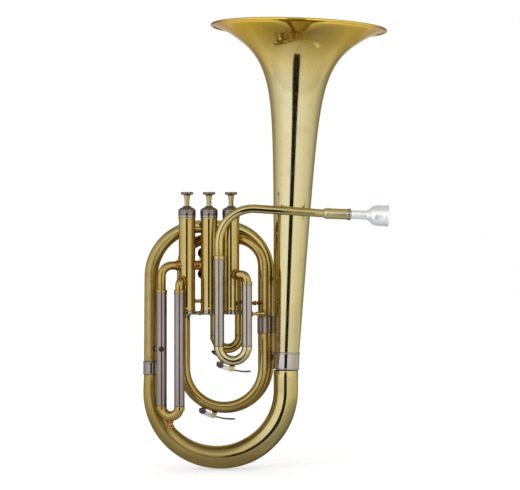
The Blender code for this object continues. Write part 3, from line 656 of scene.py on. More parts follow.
band("bell_ferrule_sleeve", 17.6, 16.0, FERRULE_BOTTOM, FERRULE_TOP, BASE, AXIS, BRIGHT_NICKEL, HORN,
     ("bell_ferrule",), beads=0.55, bead_w=2.0, sides=96)

# ------------------------------------------------------------------ large branches
def bow_radius(t):
    return 9.9 + 6.6 * min(1.0, t / 0.62) ** 0.9


tube("bottom_bow_tube", route([(*LEFT, 127.4), (*LEFT, 16.6, 89.9), (27.0, 14.0, 16.6, 89.9),
                               (27.4, 14.0, 133.2)], 3.0, 8.0), bow_radius, 0.8, BRASS, HORN,
     ("bottom_bow",), 96)
band("branch_ferrule_sleeve", 10.8, 9.3, 127.7, 145.0, (*LEFT, 0), (0, 0, 1), SHADED_NICKEL, HORN, ("branch_ferrule",), beads=0.4, bead_w=1.7)
tube("top_bow_tube", route([(*B_R, 205.0), (*B_R, TOP_Z, 59.8), (*LEFT, TOP_Z, 66.5), (*LEFT, 145.3)], 3.0, 8.0),
     lambda t: 7.25 + 2.65 * t, 0.7, BRASS, HORN, ("top_bow",), 64)
tube("outlet_elbow_tube", route([(-106.2, 11.4, 235), (*A_L, 235, 6.9), (*A_L, 208.2)], 7.5), 6.6, 0.6,
     SHADED_BRASS, HORN, ("outlet_elbow",), 48)
tube("inner_bow_front_tube", route([(*A_L, 207.9), (*A_L, A_BOTTOM, 52.1), (*A_R, A_BOTTOM, 52.1), (*A_R, 182.0)],
                                   3.5), 6.75, 0.6, SHADED_BRASS, HORN, ("inner_bow_front",), 48)
band("front_ferrule_sleeve", 7.6, 6.2, 182.3, 204.7, (*A_R, 0), (0, 0, 1), SHADED_NICKEL, HORN, ("front_ferrule",),
     beads=0.3, bead_w=1.3)
tube("crossover_bow_tube", route([(*A_R, 205.0), (*A_R, CROSS_Z, 36), (*B_L, CROSS_Z, 36), (*B_L, 230.2)], 3.5),
     lambda t: 6.75 + 0.35 * t, 0.6, SHADED_BRASS, HORN, ("crossover_bow",), 48)
tube("inner_bow_rear_tube", route([(*B_L, 229.9), (*B_L, B_BOTTOM, 58.1), (*B_R, B_BOTTOM, 58.1), (*B_R, 182.0)],
                                  3.5), lambda t: 7.1 + 0.15 * t, 0.6, SHADED_BRASS, HORN, ("inner_bow_rear",), 48)
band("rear_ferrule_sleeve", 8.1, 6.7, 182.3, 204.7, (*B_R, 0), (0, 0, 1), SHADED_NICKEL, HORN, ("rear_ferrule",),
     beads=0.3, bead_w=1.3)
# narrow rings where the branches are soldered end to end
for nm, c, r in (("outlet_ring", (*A_L, 208.0), 6.75), ("crossover_ring", (*B_L, 230.0), 7.1)):
    band(nm, r + 0.75, r + 0.05, -2.6, 2.6, c, (0, 0, 1), SHADED_BRASS, HORN, (), beads=0.25, bead_w=1.0)

# ------------------------------------------------------------------ leadpipe, receiver, mouthpiece
LEAD_FALL = 0.068
corner = LEAD_END + np.array((MAIN_L - LEAD_END[0], 0, (LEAD_END[0] - MAIN_L) * LEAD_FALL))
tube("leadpipe_tube", route([(MAIN_L, MAIN_Y, 282.5), (*corner, 45.0), tuple(LEAD_END)], 3.5),
     lambda t: 5.9 - 0.5 * t, 0.6, BRASS, HORN, ("leadpipe",), 48)
REC = LEAD_END + LEAD_DIR * 0.3
prof = rounded([(6.35, 36.0), (6.75, 36.0), (7.4, 35.3), (7.4, 31.6), (7.1, 31.0), (7.1, 8.6), (7.4, 8.0),
                (7.4, 4.0), (6.4, 1.6), (6.2, 0.0), (4.9, 0.0)], 0.5, 3)
prof += [(4.9, 8), (5.6, 11), (6.3, 35.6)]
lathe("receiver_socket", prof, REC, LEAD_DIR, BELL_BRASS, HORN, ("receiver",), 48, True)
band("receiver_ring", 7.75, 7.42, 31.9, 35.2, REC, LEAD_DIR, NICKEL, HORN, (), beads=0.12, bead_w=0.9, sides=48)
MP = REC + LEAD_DIR * 12.0
for mat in (PLATE, KEY_PLATE, SATIN_BRASS):
    mat.node_tree.nodes["Principled BSDF"].inputs["Metallic"].default_value = 0.75


def smooth_profile(keys, n=6):
    """Catmull-Rom through (height, radius) keys."""
    k = [np.array(p, float) for p in keys]
    k = [2 * k[0] - k[1]] + k + [2 * k[-1] - k[-2]]
    out = []
    for i in range(1, len(k) - 2):
        for j in range(n):
            t = j / n
            a, b, c, d = k[i - 1], k[i], k[i + 1], k[i + 2]
            out.append(0.5 * (2 * b + (c - a) * t + (2 * a - 5 * b + 4 * c - d) * t * t
                              + (3 * b - a - 3 * c + d) * t ** 3))
    out.append(k[-2])
    return [tuple(p) for p in out]


shank = [(0.0, 4.9), (0.25, 5.12), (24.3, 5.74), (24.5, 5.95), (25.2, 6.02)]
cup = smooth_profile([(25.4, 5.95), (33, 5.9), (41, 6.05), (44.5, 6.35), (47, 7.5), (49.4, 9.8), (51.8, 12.0),
                      (54.6, 13.3), (58.5, 13.85), (63, 14.0), (67.0, 14.0)])
rim = [(67.6, 13.75), (68.1, 13.7), (68.5, 14.0), (69.1, 14.3), (70.0, 14.4), (71.6, 14.4), (72.8, 14.2),
       (73.5, 13.85), (73.9, 13.4), (74.0, 12.95), (73.8, 12.55), (73.1, 12.15), (72.2, 11.85)]
inner = [(71.0, 11.6)] + smooth_profile([(71.0, 11.6), (67, 11.2), (62, 10.2), (57, 7.6), (53.4, 4.9), (50.6, 3.2),
                                         (47, 2.6), (40, 2.7), (0.2, 4.2)])[1:]
mp = [(r, h) for h, r in reversed(shank + cup + rim)]
mpi = [(r, h) for h, r in inner]
lathe("mouthpiece_cup", list(reversed(mp))[:0] + mp + list(reversed(mpi)), MP, LEAD_DIR, PLATE,
      "mouthpiece_body", ("mouthpiece",), 72, True, sharp=45)

# ------------------------------------------------------------------ slides
def crook(name, node, a, b, top_a, top_b, shoulder, body, mat=BRASS):
    a, b = np.array((*a, 0.0)), np.array((*b, 0.0))
    half = np.linalg.norm(b - a) / 2
    arc = route([(a[0], a[1], shoulder), (a[0], a[1], shoulder - 0.6 - half, half),
                 (b[0], b[1], shoulder - 0.6 - half, half), (b[0], b[1], shoulder)], 4.0)
    pts = np.concatenate([[(a[0], a[1], top_a), (a[0], a[1], (top_a + shoulder) / 2), (a[0], a[1], shoulder + 0.3)],
                          arc, [(b[0], b[1], shoulder + 0.3), (b[0], b[1], (top_b + shoulder) / 2),
                                (b[0], b[1], top_b)]])
    rad = np.array([LEG_R] * 3 + [BOW_R] * len(arc) + [LEG_R] * 3)
    tube_r(name, pts, rad, 0.5, mat, body, (node,))
    for k, c in enumerate((a, b)):
        band(f"{name}_collar_{k}", BOW_R + 0.42, BOW_R + 0.03, shoulder - 5.4, shoulder - 0.05, (c[0], c[1], 0),
             (0, 0, 1), mat, body, (), beads=0.22, bead_w=1.0, sides=48)
    return half


def tube_r(name, pts, rad, wall, mat, body, replaces=(), sides=48):
    t, _ = fractions(pts)
    return tube(name, pts, lambda x: float(np.interp(x, t, rad)), wall, mat, body, replaces, sides, 0.15)


def sleeve(name, node, a, b, mat=None):
    a, b = np.asarray(a, float), np.asarray(b, float)
    ax = unit(b - a)
    h = np.linalg.norm(b - a)
    prof = []
    w, e = 1.5, 0.38
    for j in range(9):
        q = math.pi * j / 8
        prof.append((SLEEVE_R + e * math.sin(q), h - w * (1 - math.cos(q)) / 2))
    for k in range(1, 8):
        prof.append((SLEEVE_R, h - w - 0.2 - (h - 2 * w - 0.4) * (k - 1) / 6))
    for j in range(9):
        q = math.pi * j / 8
        prof.append((SLEEVE_R + e * math.sin(q), w * (1 + math.cos(q)) / 2))
    prof += [(SLEEVE_R - 0.6, 0.0), (SLEEVE_R - 0.6, h)]
    return lathe(name, prof, a, ax, mat or NICKEL, HORN, (node,), 48, True)


MAIN_SHOULDER = 166.9
sleeve("main_outer_left", "main_sleeve_left", (MAIN_L, MAIN_Y, 167.3), (MAIN_L, MAIN_Y, 282.2))
sleeve("main_outer_right", "main_sleeve_right", (MAIN_R, MAIN_Y, 167.3), (MAIN_R, MAIN_Y, 248.7))
crook("main_bow", "main_slide_crook", (MAIN_L, MAIN_Y), (MAIN_R, MAIN_Y), 264.0, 240.0, MAIN_SHOULDER, "main_slide",
      BELL_BRASS)
sleeve("third_outer_left", "third_sleeve_left", (*TH_L, 88.0), (*TH_L, 237.4), SHADED_NICKEL)
sleeve("third_outer_right", "third_sleeve_right", (*TH_R, 88.0), (*TH_R, 237.4), SHADED_NICKEL)
crook("third_bow", "third_slide_crook", TH_L, TH_R, 222.0, 222.0, 87.6, "third_slide", SHADED_BRASS)
sleeve("first_outer_left", "first_sleeve_left", (*FI_L, 179.5), (*FI_L, 246.0), SHADED_BRASS)
sleeve("first_outer_right", "first_sleeve_right", (*FI_R, 179.5), (*FI_R, 241.0), SHADED_BRASS)
crook("first_bow", "first_slide_crook", FI_L, FI_R, 236.0, 232.0, 179.1, "first_slide", SHADED_BRASS)


def elbow(name, node, n, ang, z, leg, z_end, bend, extra=None, start=12.9):
    p0 = polar(n, ang, start, z)
    mid = [] if extra is None else [extra]
    tube(name, route([tuple(p0)] + mid + [(leg[0], leg[1], z, bend), (leg[0], leg[1], z_end)], 6.0),
         VT_R, 0.6, SHADED_BRASS, HORN, (node,), 48)
    # ferrule where it takes the slide's outer tube
    band(name + "_ferrule", SLEEVE_R + 0.35, VT_R + 0.05, z_end - 0.35, z_end + 3.6, (leg[0], leg[1], 0), (0, 0, 1),
         SHADED_BRASS, HORN, (), beads=0.2, bead_w=0.9, sides=48)
    d = unit(np.array((math.cos(math.radians(ang)), math.sin(math.radians(ang)), 0)))
    knuckle(name + "_solder", polar(n, ang, start + 0.9, z), d, VT_R, AGED, HORN, 3.4, 1.3)


c1 = polar(1, MAIN_BOSS, 18.4, MAIN_PORT_Z)
elbow("main_elbow", "main_slide_elbow", 1, MAIN_BOSS, MAIN_PORT_Z, (MAIN_R, MAIN_Y), 249.0, 8.0,
      (c1[0], c1[1], MAIN_PORT_Z, 7.0))
elbow("third_elbow_high", "third_elbow_upper", 3, bearing(3, TH_L), T_HI, TH_L, 237.7, 14.0)
elbow("third_elbow_low", "third_elbow_lower", 3, bearing(3, TH_R), T_LO, TH_R, 237.7, 6.1)
elbow("first_elbow_high", "first_elbow_left", 1, bearing(1, FI_L), F_HI, FI_L, 246.3, 9.0)
elbow("first_elbow_low", "first_elbow_right", 1, bearing(1, FI_R), F_LO, FI_R, 241.3, 7.6)
band("leadpipe_ferrule", SLEEVE_R + 0.4, 5.95, 281.9, 286.4, (MAIN_L, MAIN_Y, 0), (0, 0, 1), BRASS, HORN, (),
     beads=0.25, bead_w=1.0, sides=48)

# second slide: two short legs straight back
for tag, z in (("upper", SEC_HI), ("lower", SEC_LO)):
    sleeve(f"second_outer_{tag}", f"second_sleeve_{tag}", (SEC_X, 14.3, z), (SEC_X, 43.7, z))
half = (SEC_HI - SEC_LO) / 2
arc = route([(SEC_X, 44.4, SEC_HI), (SEC_X, 44.9 + half, SEC_HI, half), (SEC_X, 44.9 + half, SEC_LO, half),
             (SEC_X, 44.4, SEC_LO)], 5.0)
pts = np.concatenate([[(SEC_X, 17, SEC_HI), (SEC_X, 30, SEC_HI), (SEC_X, 44.1, SEC_HI)], arc,
                      [(SEC_X, 44.1, SEC_LO), (SEC_X, 30, SEC_LO), (SEC_X, 17, SEC_LO)]])
tube_r("second_bow", pts, np.array([LEG_R] * 3 + [BOW_R] * len(arc) + [LEG_R] * 3), 0.5, BRASS, "second_slide",
       ("second_slide_crook",))


def pull_knob(name, base, direction, body, r=3.6, mat=None):
    """A small turned knob soldered on the outside of a slide bow."""
    prof = rounded([(0, 7.6), (r * 0.72, 7.5), (r, 6.4), (r, 5.0), (r * 0.62, 3.8), (1.5, 2.6), (1.5, 1.2), (2.7, 0.2),
                    (2.9, -0.6), (0, -0.6)], 0.5, 3)
    return lathe(name, prof, base, direction, mat or NICKEL, body, (), 32)


pull_knob("second_pull", (SEC_X, 44.9 + 2 * half * 0.5 + BOW_R + 0.0, (SEC_HI + SEC_LO) / 2), (0, 1, 0),
          "second_slide", 3.2)

def dome(name, base, direction, r, h, mat, body):
    prof = [(r * math.cos(math.radians(90 - 90 * k / 8)) if k else 0.0, h * 0.45 + h * 0.55 * math.sin(math.radians(90 - 90 * k / 8)))
            for k in range(9)]
    prof += [(r, h * 0.4), (r * 0.92, 0.3), (r * 1.12, 0.0), (r * 1.12, -0.5), (0, -0.5)]
    return lathe(name, prof, base, direction, mat, body, (), 32)


# pull knob on the first slide, drawn knob under the third slide, small stud on its sleeve
a = math.radians(233)
R1 = (FI_R[0] - FI_L[0]) / 2 + BOW_R
pull_knob("first_pull", ((FI_L[0] + FI_R[0]) / 2 + R1 * math.cos(a), FI_L[1], 178.5 + R1 * math.sin(a)),
          (math.cos(a), 0, math.sin(a)), "first_slide", 5.4, BROWNED)
mid = ((TH_L[0] + TH_R[0]) / 2, (TH_L[1] + TH_R[1]) / 2)
half3 = math.hypot(TH_R[0] - TH_L[0], TH_R[1] - TH_L[1]) / 2
lathe("third_pull", rounded([(0, 9.8), (5.0, 9.6), (5.6, 8.6), (5.4, 7.2), (4.0, 5.4), (3.3, 3.6), (3.3, 2.4), (3.8, 1.0),
                             (4.6, -0.2), (4.6, -1.4), (0, -1.4)], 0.5, 3),
      (mid[0], mid[1], 87.0 - half3 - BOW_R), (0, 0, -1), AGED, "third_slide", (), 32)
dome("sleeve_stud", (TH_L[0], TH_L[1] - SLEEVE_R, 163.0), (0, -1, 0), 3.3, 3.4, BROWNED, HORN)

# ------------------------------------------------------------------ valves
TOP, BOT = 340.0, 212.8
for n, x in VALVE_X.items():
    v = f"valve_{n}_"
    prof = [(10.2, TOP), (10.25, TOP - 0.1), (10.25, 336.9), (10.6, 336.75), (11.05, 336.5), (11.25, 336.0),
            (11.25, 334.4), (11.05, 334.0), (11.0, 333.6)]
    prof += [(11.0, z) for z in (318, 300, 282, 264, 246, 230)]
    prof += [(11.0, 217.6), (11.05, 217.2), (11.25, 216.8), (11.25, 213.2), (11.1, 212.85), (10.6, 212.8),
             (9.75, 212.8), (9.75, TOP)]
    lathe(v + "body", prof, (x, 0, 0), (0, 0, 1), CASING_BRASS, HORN, (v + "casing",), 80, True)
    # caps: turned nickel with a knurled grip
    cap = [(4.45, 350.9), (4.7, 351.1), (5.4, 351.1), (6.2, 350.9), (7.4, 350.45), (8.8, 349.75), (10.0, 348.9),
           (10.9, 347.95), (11.45, 347.1), (11.7, 346.4), (11.75, 345.9), (11.75, 345.2), (11.5, 344.95),
           (11.5, 344.6), (11.75, 344.3), (11.75, 341.2), (11.5, 340.9), (11.5, 340.6), (11.7, 340.4), (11.7, 340.1),
           (11.5, 340.0), (11.35, 340.0), (11.35, 340.4), (8.6, 340.4), (8.6, 346.0), (4.45, 347.5)]
    lathe(v + "cap_top", cap, (x, 0, 0), (0, 0, 1), DARK_NICKEL, HORN, (v + "top_cap",), closed=True,
          ridges=(14, 15, 40, 0.22), sharp=30)
    band(v + "collar", 11.7, 11.28, 336.95, 339.85, (x, 0, 0), (0, 0, 1), NICKEL, HORN, (), beads=0.05, bead_w=0.7)
    low = [(9.3, 214.6), (9.3, 212.5), (11.5, 212.5), (11.6, 212.35), (11.6, 211.9), (11.6, 209.9), (11.45, 209.5),
           (11.0, 208.9), (10.3, 208.55), (9.4, 208.42), (6.0, 208.4), (5.2, 208.8), (2.6, 208.8), (2.2, 208.45),
           (2.0, 208.6), (2.0, 210.6), (7.9, 211.0), (7.9, 214.6)]
    lathe(v + "cap_bottom", low, (x, 0, 0), (0, 0, 1), NICKEL, HORN, (v + "bottom_cap",), closed=True,
          ridges=(4, 5, 40, 0.2), sharp=30)
    body = f"piston_{n}"
    # stem, button with a raised lip, pearl inlay, and felts
    button = [(0, 370.1), (6.7, 370.1), (6.8, 370.2), (6.9, 370.75), (7.2, 371.0), (7.7, 370.95), (8.25, 370.6),
              (8.5, 370.0), (8.5, 369.0), (8.3, 368.3), (7.7, 367.8), (6.7, 367.5), (5.4, 367.1), (4.6, 366.4),
              (4.15, 365.2), (3.85, 363.6), (3.65, 361.6), (3.3, 360.8), (3.3, 347.0), (3.3, 340.0), (3.3, 335.3),
              (0, 335.3)]
    lathe(v + "stem", button[12:], (x, 0, 0), (0, 0, 1), BRASS, body, (), 48)
    lathe(v + "finger_button", button[:12] + [(6.0, 367.2), (0, 367.2)], (x, 0, 0), (0, 0, 1), DARK_NICKEL, body,
          (v + "button",), 64)
    lathe(v + "pearl", rounded([(0, 370.75), (4.5, 370.72), (6.55, 370.45), (6.6, 369.9), (0, 369.8)], 0.25, 3),
          (x, 0, 0), (0, 0, 1), PEARL, body, (), 48)
    lathe(v + "felt", rounded([(4.9, 352.5), (5.3, 352.5), (5.6, 352.2), (5.6, 351.45), (5.3, 351.15), (4.5, 351.15)],
                              0.15, 2), (x, 0, 0), (0, 0, 1), FELT, HORN, (), 40, True)
    ob = frame["nodes"][v + "piston"]
    ob.data.materials.clear()
    ob.data.materials.append(PISTON_METAL)


def clear_of_piston(ob, n, d, r=9.5):
    """Hollow the inner end of a boss to the bore of its casing."""
    axis = world((VALVE_X[n], 0, 0)) * 1000
    for vert in ob.data.vertices:
        q = np.array(vert.co[:2]) * 1000 - axis[:2]
        if q @ q < r * r:
            along = q @ d[:2]
            push = (-along + math.sqrt(along ** 2 - q @ q + r * r)) / 1000
            vert.co = vert.co[0] + d[0] * push, vert.co[1] + d[1] * push, vert.co[2]


def link(name, x0, x1, y, z, r, mat=BRASS, wall=None):
    """A short horizontal tie between two casings, cut to their walls."""
    a, b = np.array((x0, y, z)), np.array((x1, y, z))
    mid = (a + b) / 2
    h = np.linalg.norm(b - a)
    prof = [(0, h), (r + 0.5, h), (r + 0.62, h - 0.5), (r + 0.1, h - 1.2), (r, h - 1.8), (r, h / 2 + 1.4),
            (r + 0.45, h / 2 + 1.0), (r + 0.45, h / 2 - 1.0), (r, h / 2 - 1.4), (r, 1.8), (r + 0.1, 1.2),
            (r + 0.62, 0.5), (r + 0.5, 0), (0, 0)]
    return lathe(name, prof, a, b - a, mat, HORN, (), 40)


for k, (m, n) in enumerate(((3, 2), (2, 1))):
    x0, x1 = VALVE_X[m] + 9.9, VALVE_X[n] - 9.9
    link(f"link_tube_{k}", x0, x1, 0, LINK_Z, 6.1, AGED)
    link(f"link_stay_top_{k}", VALVE_X[m] + 10.9, VALVE_X[n] - 10.9, 0, 322.0, 2.0)
    link(f"link_stay_low_{k}", VALVE_X[m] + 10.9, VALVE_X[n] - 10.9, 0, 226.0, 2.1, SHADED_BRASS)
for n, ang, z, end in ((1, MAIN_BOSS, MAIN_PORT_Z, 12.9), (1, bearing(1, FI_L), F_HI, 12.9),
                       (1, bearing(1, FI_R), F_LO, 12.9), (3, bearing(3, TH_L), T_HI, 12.9),
                       (3, bearing(3, TH_R), T_LO, 12.9)):
    d = unit(np.array((math.cos(math.radians(ang)), math.sin(math.radians(ang)), 0)))
    ob = lathe(f"port_boss_{n}_{int(z)}", [(5.0, 3.0), (6.1, 3.0), (6.1, 0.9), (6.5, 0.2), (6.7, -1.4), (5.0, -1.4)],
               polar(n, ang, 9.9, z), d, SHADED_BRASS, HORN, (), 40, True)
    clear_of_piston(ob, n, d)
for tag, z in (("upper", SEC_HI), ("lower", SEC_LO)):
    y0 = math.sqrt(10.4 ** 2 - (SEC_X - VALVE_X[2]) ** 2)
    ob = lathe(f"second_boss_{tag}", [(5.0, 14.2 - y0), (6.1, 14.2 - y0), (6.2, 3.0), (6.5, 1.2), (6.9, -1.2),
                                      (5.0, -1.2)], (SEC_X, y0, z), (0, 1, 0), SHADED_BRASS, HORN, (), 40, True)
    clear_of_piston(ob, 2, np.array((0.0, 1.0, 0.0)))

# ------------------------------------------------------------------ braces
def on_line(a, ra, b, rb, z):
    a, b = np.array((a[0], a[1], z)), np.array((b[0], b[1], z))
    d = unit(b - a)
    return a + d * (ra + 0.05), b - d * (rb + 0.05)


def bell_line(a, ra, z):
    c, r = bell_centre(z)
    return on_line(a, ra, (c[0] - r, c[1]), r, z)


strut("brace_sleeve_bell", *bell_line((MAIN_R, MAIN_Y), SLEEVE_R, 209.5), BRASS, HORN, ("sleeve_bell_brace",), 2.0, 4.5)
if "inner_brace" in frame["nodes"]:
    strut("brace_inner", *on_line(A_L, 6.75, FI_L, SLEEVE_R, 209.5), SHADED_BRASS, HORN, ("inner_brace",), 2.5, 3.6)
strut("brace_sleeve_tube", *on_line((MAIN_R, MAIN_Y), SLEEVE_R, A_R, 6.75, 223.4), AGED, HORN,
      ("sleeve_tube_brace",), 2.2, 3.6)
strut("brace_bell_upper", *bell_line(B_R, 7.25, 254.7), AGED, HORN, ("bell_brace_upper",), 2.4, 4.2)
strut("brace_bell_lower", *on_line(B_R, 7.25, (28.0, 14.0), 18.1, 149.6), AGED, HORN, ("bell_brace_lower",), 2.4, 4.2)
strut("brace_branch", *on_line(LEFT, 9.9, TH_L, SLEEVE_R, 162.5), DARK_NICKEL, HORN, ("branch_brace",), 2.2, 4.0)
p = LEAD_END + np.array((-39.0, 0, 39.0 * LEAD_FALL))
c, r = bell_centre(p[2])
strut("brace_leadpipe", (p[0], MAIN_Y + 5.6, p[2]), (p[0], c[1] - r - 0.1, p[2]), NICKEL, HORN, ("leadpipe_brace",),
      2.3, 3.6)

# ------------------------------------------------------------------ plates, rods, blocks
def slab(name, outline, y0, y1, mat, body, replaces=(), bevel=0.25):
    """A flat piece cut from an x,z outline, y0..y1 thick, with softened edges."""
    bm = bmesh.new()
    vs = [bm.verts.new(W(x, y0, z)) for x, z in outline]
    f = bm.faces.new(vs)
    ext = bmesh.ops.extrude_face_region(bm, geom=[f])
    moved = [g for g in ext["geom"] if isinstance(g, bmesh.types.BMVert)]
    bmesh.ops.translate(bm, verts=moved, vec=(0, (y1 - y0) / 1000.0, 0))
    bmesh.ops.recalc_face_normals(bm, faces=bm.faces)
    hard = [e for e in bm.edges if e.calc_face_angle(0) > math.radians(50)]
    bmesh.ops.bevel(bm, geom=hard, offset=bevel / 1000.0, segments=2, profile=0.6, affect='EDGES')
    me = bpy.data.meshes.new(name)
    bm.to_mesh(me)
    bm.free()
    verts = [ORIGIN + np.array(v.co) * 1000.0 for v in me.vertices]
    faces = [tuple(p.vertices) for p in me.polygons]
    bpy.data.meshes.remove(me)
    return finish_mesh(name, world(np.array(verts)), faces, mat, body, replaces, 35)


def ribbon_arm(name, line, widths, thick, y, mat, body):
    """A bent lever arm: centre line in x,z, half widths across y, constant thickness."""
    line = np.array(line, float)
    pts = np.stack([line[:, 0], np.full(len(line), y), line[:, 1]], axis=1)
    t, _ = fractions(pts)
    tan = np.gradient(pts, axis=0)
    tan = tan / np.linalg.norm(tan, axis=1)[:, None]
    side = np.array((0.0, 1.0, 0.0))
    nor = np.cross(tan, side)
    w = np.interp(t, np.linspace(0, 1, len(widths)), widths)
    e = 0.3
    rings = []
    for i in range(len(pts)):
        a = w[i]
        h = thick / 2
        c = pts[i]
        rings.append([c + side * (a - e) + nor[i] * h, c + side * a + nor[i] * (h - e), c + side * a - nor[i] * (h - e),
                      c + side * (a - e) - nor[i] * h, c - side * (a - e) - nor[i] * h, c - side * a - nor[i] * (h - e),
                      c - side * a + nor[i] * (h - e), c - side * (a - e) + nor[i] * h])
    n = 8
    verts = np.array([p for r in rings for p in r])
    faces = []
    for i in range(len(rings) - 1):
        for k in range(n):
            l = (k + 1) % n
            faces.append((i * n + k, i * n + l, (i + 1) * n + l, (i + 1) * n + k))
    faces.append(tuple(range(n - 1, -1, -1)))
    faces.append(tuple((len(rings) - 1) * n + k for k in range(n)))
    return finish_mesh(name, world(verts), faces, mat, body, (), 40)


def wire(name, pts, r, mat, body, sides=10, tag=()):
    pts = np.asarray(pts, float)
    tan, us, vs = frames(pts)
    ang = np.linspace(0, 2 * math.pi, sides, endpoint=False)
    verts = []
    for i in range(len(pts)):
        verts.extend(pts[i] + r * (np.cos(ang)[:, None] * us[i] + np.sin(ang)[:, None] * vs[i]))
    n = sides
    faces = []
    for i in range(len(pts) - 1):
        for k in range(n):
            l = (k + 1) % n
            faces.append((i * n + k, i * n + l, (i + 1) * n + l, (i + 1) * n + k))
    faces.append(tuple(range(n - 1, -1, -1)))
    faces.append(tuple((len(pts) - 1) * n + k for k in range(n)))
    return finish_mesh(name, world(np.array(verts)), faces, mat, body, tag, 60)


# return springs, standing in the bottom caps
for n, x in VALVE_X.items():
    turns, per = 8, 24
    coil = []
    for k in range(turns * per + 1):
        a = 2 * math.pi * k / per
        t = k / per
        # closed end turns, open between
        z = 215.6 + (0.2 * t if t < 1 else 0.2 + (t - 1) * 32.6 / (turns - 2) if t < turns - 1 else
                     32.8 + 0.2 * (t - turns + 1))
        coil.append((x + 6.6 * math.cos(a), 6.6 * math.sin(a), z))
    ob = wire(f"valve_{n}_coil", coil, 0.5, STEEL, HORN, 8, (f"valve_{n}_spring",))
    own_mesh(ob)

# ------------------------------------------------------------------ drain keys
def drain_key(tag, node, bow_body, key_body, pivot, pad, tail, y, centre, surface):
    P = np.array((pivot[0], y, pivot[1]))
    C = np.array((centre[0], y, centre[1]))
    up = unit(C - P)
    along = np.array((up[2], 0.0, -up[0]))
    dist = np.linalg.norm(C - P)
    plate = dist - surface - 0.1
    Y = np.array((0.0, 1.0, 0.0))

    def loc(a, u):
        q = P + along * a + up * u
        return (q[0], q[2])
    # saddle: a foot plate curved to the bow, and two ears that carry the screw
    outline = []
    for k in range(9):
        a = -3.6 + 7.2 * k / 8
        outline.append(loc(a, plate + 0.25 - (a * a) / (2 * surface)))
    for k in range(9):
        a = 3.6 - 7.2 * k / 8
        outline.append(loc(a, plate - 0.95 - (a * a) / (2 * surface)))
    slab(f"{tag}_saddle_foot", outline, y - 4.3, y + 4.3, AGED, bow_body, (f"{node}_saddle",))
    for s in (-1, 1):
        ear = [loc(-3.5, plate - 0.6), loc(3.5, plate - 0.6)]
        for k in range(11):
            a = math.radians(5 - 190 * k / 10)
            ear.append(loc(3.5 * math.cos(a), 3.3 * math.sin(a) - 0.4))
        slab(f"{tag}_ear_{'near' if s < 0 else 'far'}", ear, y + s * 3.7 - 0.6, y + s * 3.7 + 0.6, SATIN_BRASS, bow_body, ())
    lathe(f"{tag}_screw", rounded([(0, 5.6), (1.5, 5.55), (1.9, 4.9), (1.9, 4.4), (0.95, 4.35), (0.95, -4.4), (1.3, -4.45),
                                   (1.3, -5.0), (0, -5.05)], 0.2, 2), P, -Y, SATIN_BRASS, bow_body, (), 24)
    # lever: barrel, two arms, finger plate and cork cup
    lathe(f"{tag}_barrel", [(2.0, 2.7), (2.0, 1.9), (1.75, 1.7), (1.75, -1.7), (2.0, -1.9), (2.0, -2.7), (1.15, -2.7),
                            (1.15, 2.7)], P, Y, BRASS, key_body, (f"{node}_lever",), 32, True)
    E = np.array((pad[0], y, pad[1]))
    T = np.array((tail[0], y, tail[1]))
    u = unit(C - E)
    back = E - u * 1.4
    mids = []
    for k in range(13):
        s = k / 12
        q = (P - up * 1.5) * (1 - s) + back * s - up * 0.6 * math.sin(math.pi * s)
        mids.append((q[0], q[2]))
    ribbon_arm(f"{tag}_pad_arm", mids, [2.3, 2.1, 2.0, 2.2, 2.8], 5.8, y, KEY_PLATE, key_body)
    mids = []
    for k in range(17):
        s = k / 16
        q = (P - up * 1.2) * (1 - s) + T * s - up * 1.2 * math.sin(math.pi * s)
        mids.append((q[0], q[2]))
    ribbon_arm(f"{tag}_tail_arm", mids, [1.7, 1.5, 1.5, 1.7, 2.2, 3.1, 3.3, 2.6], 1.8, y, DARK_STEEL, key_body)
    # cross ribs on the tail's finger grip
    for k in range(7, 16):
        q = np.array((mids[k][0], y, mids[k][1]))
        e = unit(np.array((mids[k][0] - mids[k - 1][0], 0, mids[k][1] - mids[k - 1][1])))
        nrm = np.array((e[2], 0.0, -e[0]))
        nrm = nrm if nrm @ up < 0 else -nrm
        lathe(f"{tag}_rib_{k}", [(0, 2.0), (0.45, 1.9), (0.6, 1.5), (0.6, -1.5), (0.45, -1.9), (0, -2.0)],
              q + nrm * 0.75, Y, DARK_STEEL, key_body, (), 12)
    lathe(f"{tag}_cup", [(0, -4.6), (2.2, -4.6), (3.3, -4.3), (3.9, -3.6), (3.9, -3.1), (4.7, -2.5), (5.1, -1.9),
                         (5.2, -1.4), (5.2, 1.3), (5.0, 1.8), (3.8, 1.8), (3.6, 0.4), (0, 0.3)], E, u, DARK_STEEL,
          key_body, (), ridges=(7, 8, 14, 0.5), sharp=30)
    lathe(f"{tag}_cork", rounded([(0, 0.32), (3.3, 0.32), (3.35, 2.0), (3.0, 2.6), (0, 2.6)], 0.25, 2), E, u, CORK,
          key_body, (), 32)
    gap = np.linalg.norm(C - E) - surface
    lathe(f"{tag}_nipple", [(0.9, gap + 0.9), (3.4, gap + 0.9), (3.2, gap - 0.1), (2.2, gap - 0.9), (1.9, 2.9), (1.6, 2.72),
                            (1.2, 2.72), (0.9, 3.0)], E, u, AGED, bow_body, (), 32, True)
    # torsion spring: coils round the barrel
    pts = []
    n = 96
    for k in range(n + 1):
        a = 2 * math.pi * 4.5 * k / n
        q = P + Y * (-1.5 + 3.0 * k / n) + (along * math.cos(a) + up * math.sin(a)) * 2.15
        pts.append(q)
    wire(f"{tag}_spring", pts, 0.26, STEEL, key_body, 8)
    tarnish_and_shade_spot(P[0] + up[0] * plate, y, P[2] + up[2] * plate, 9)


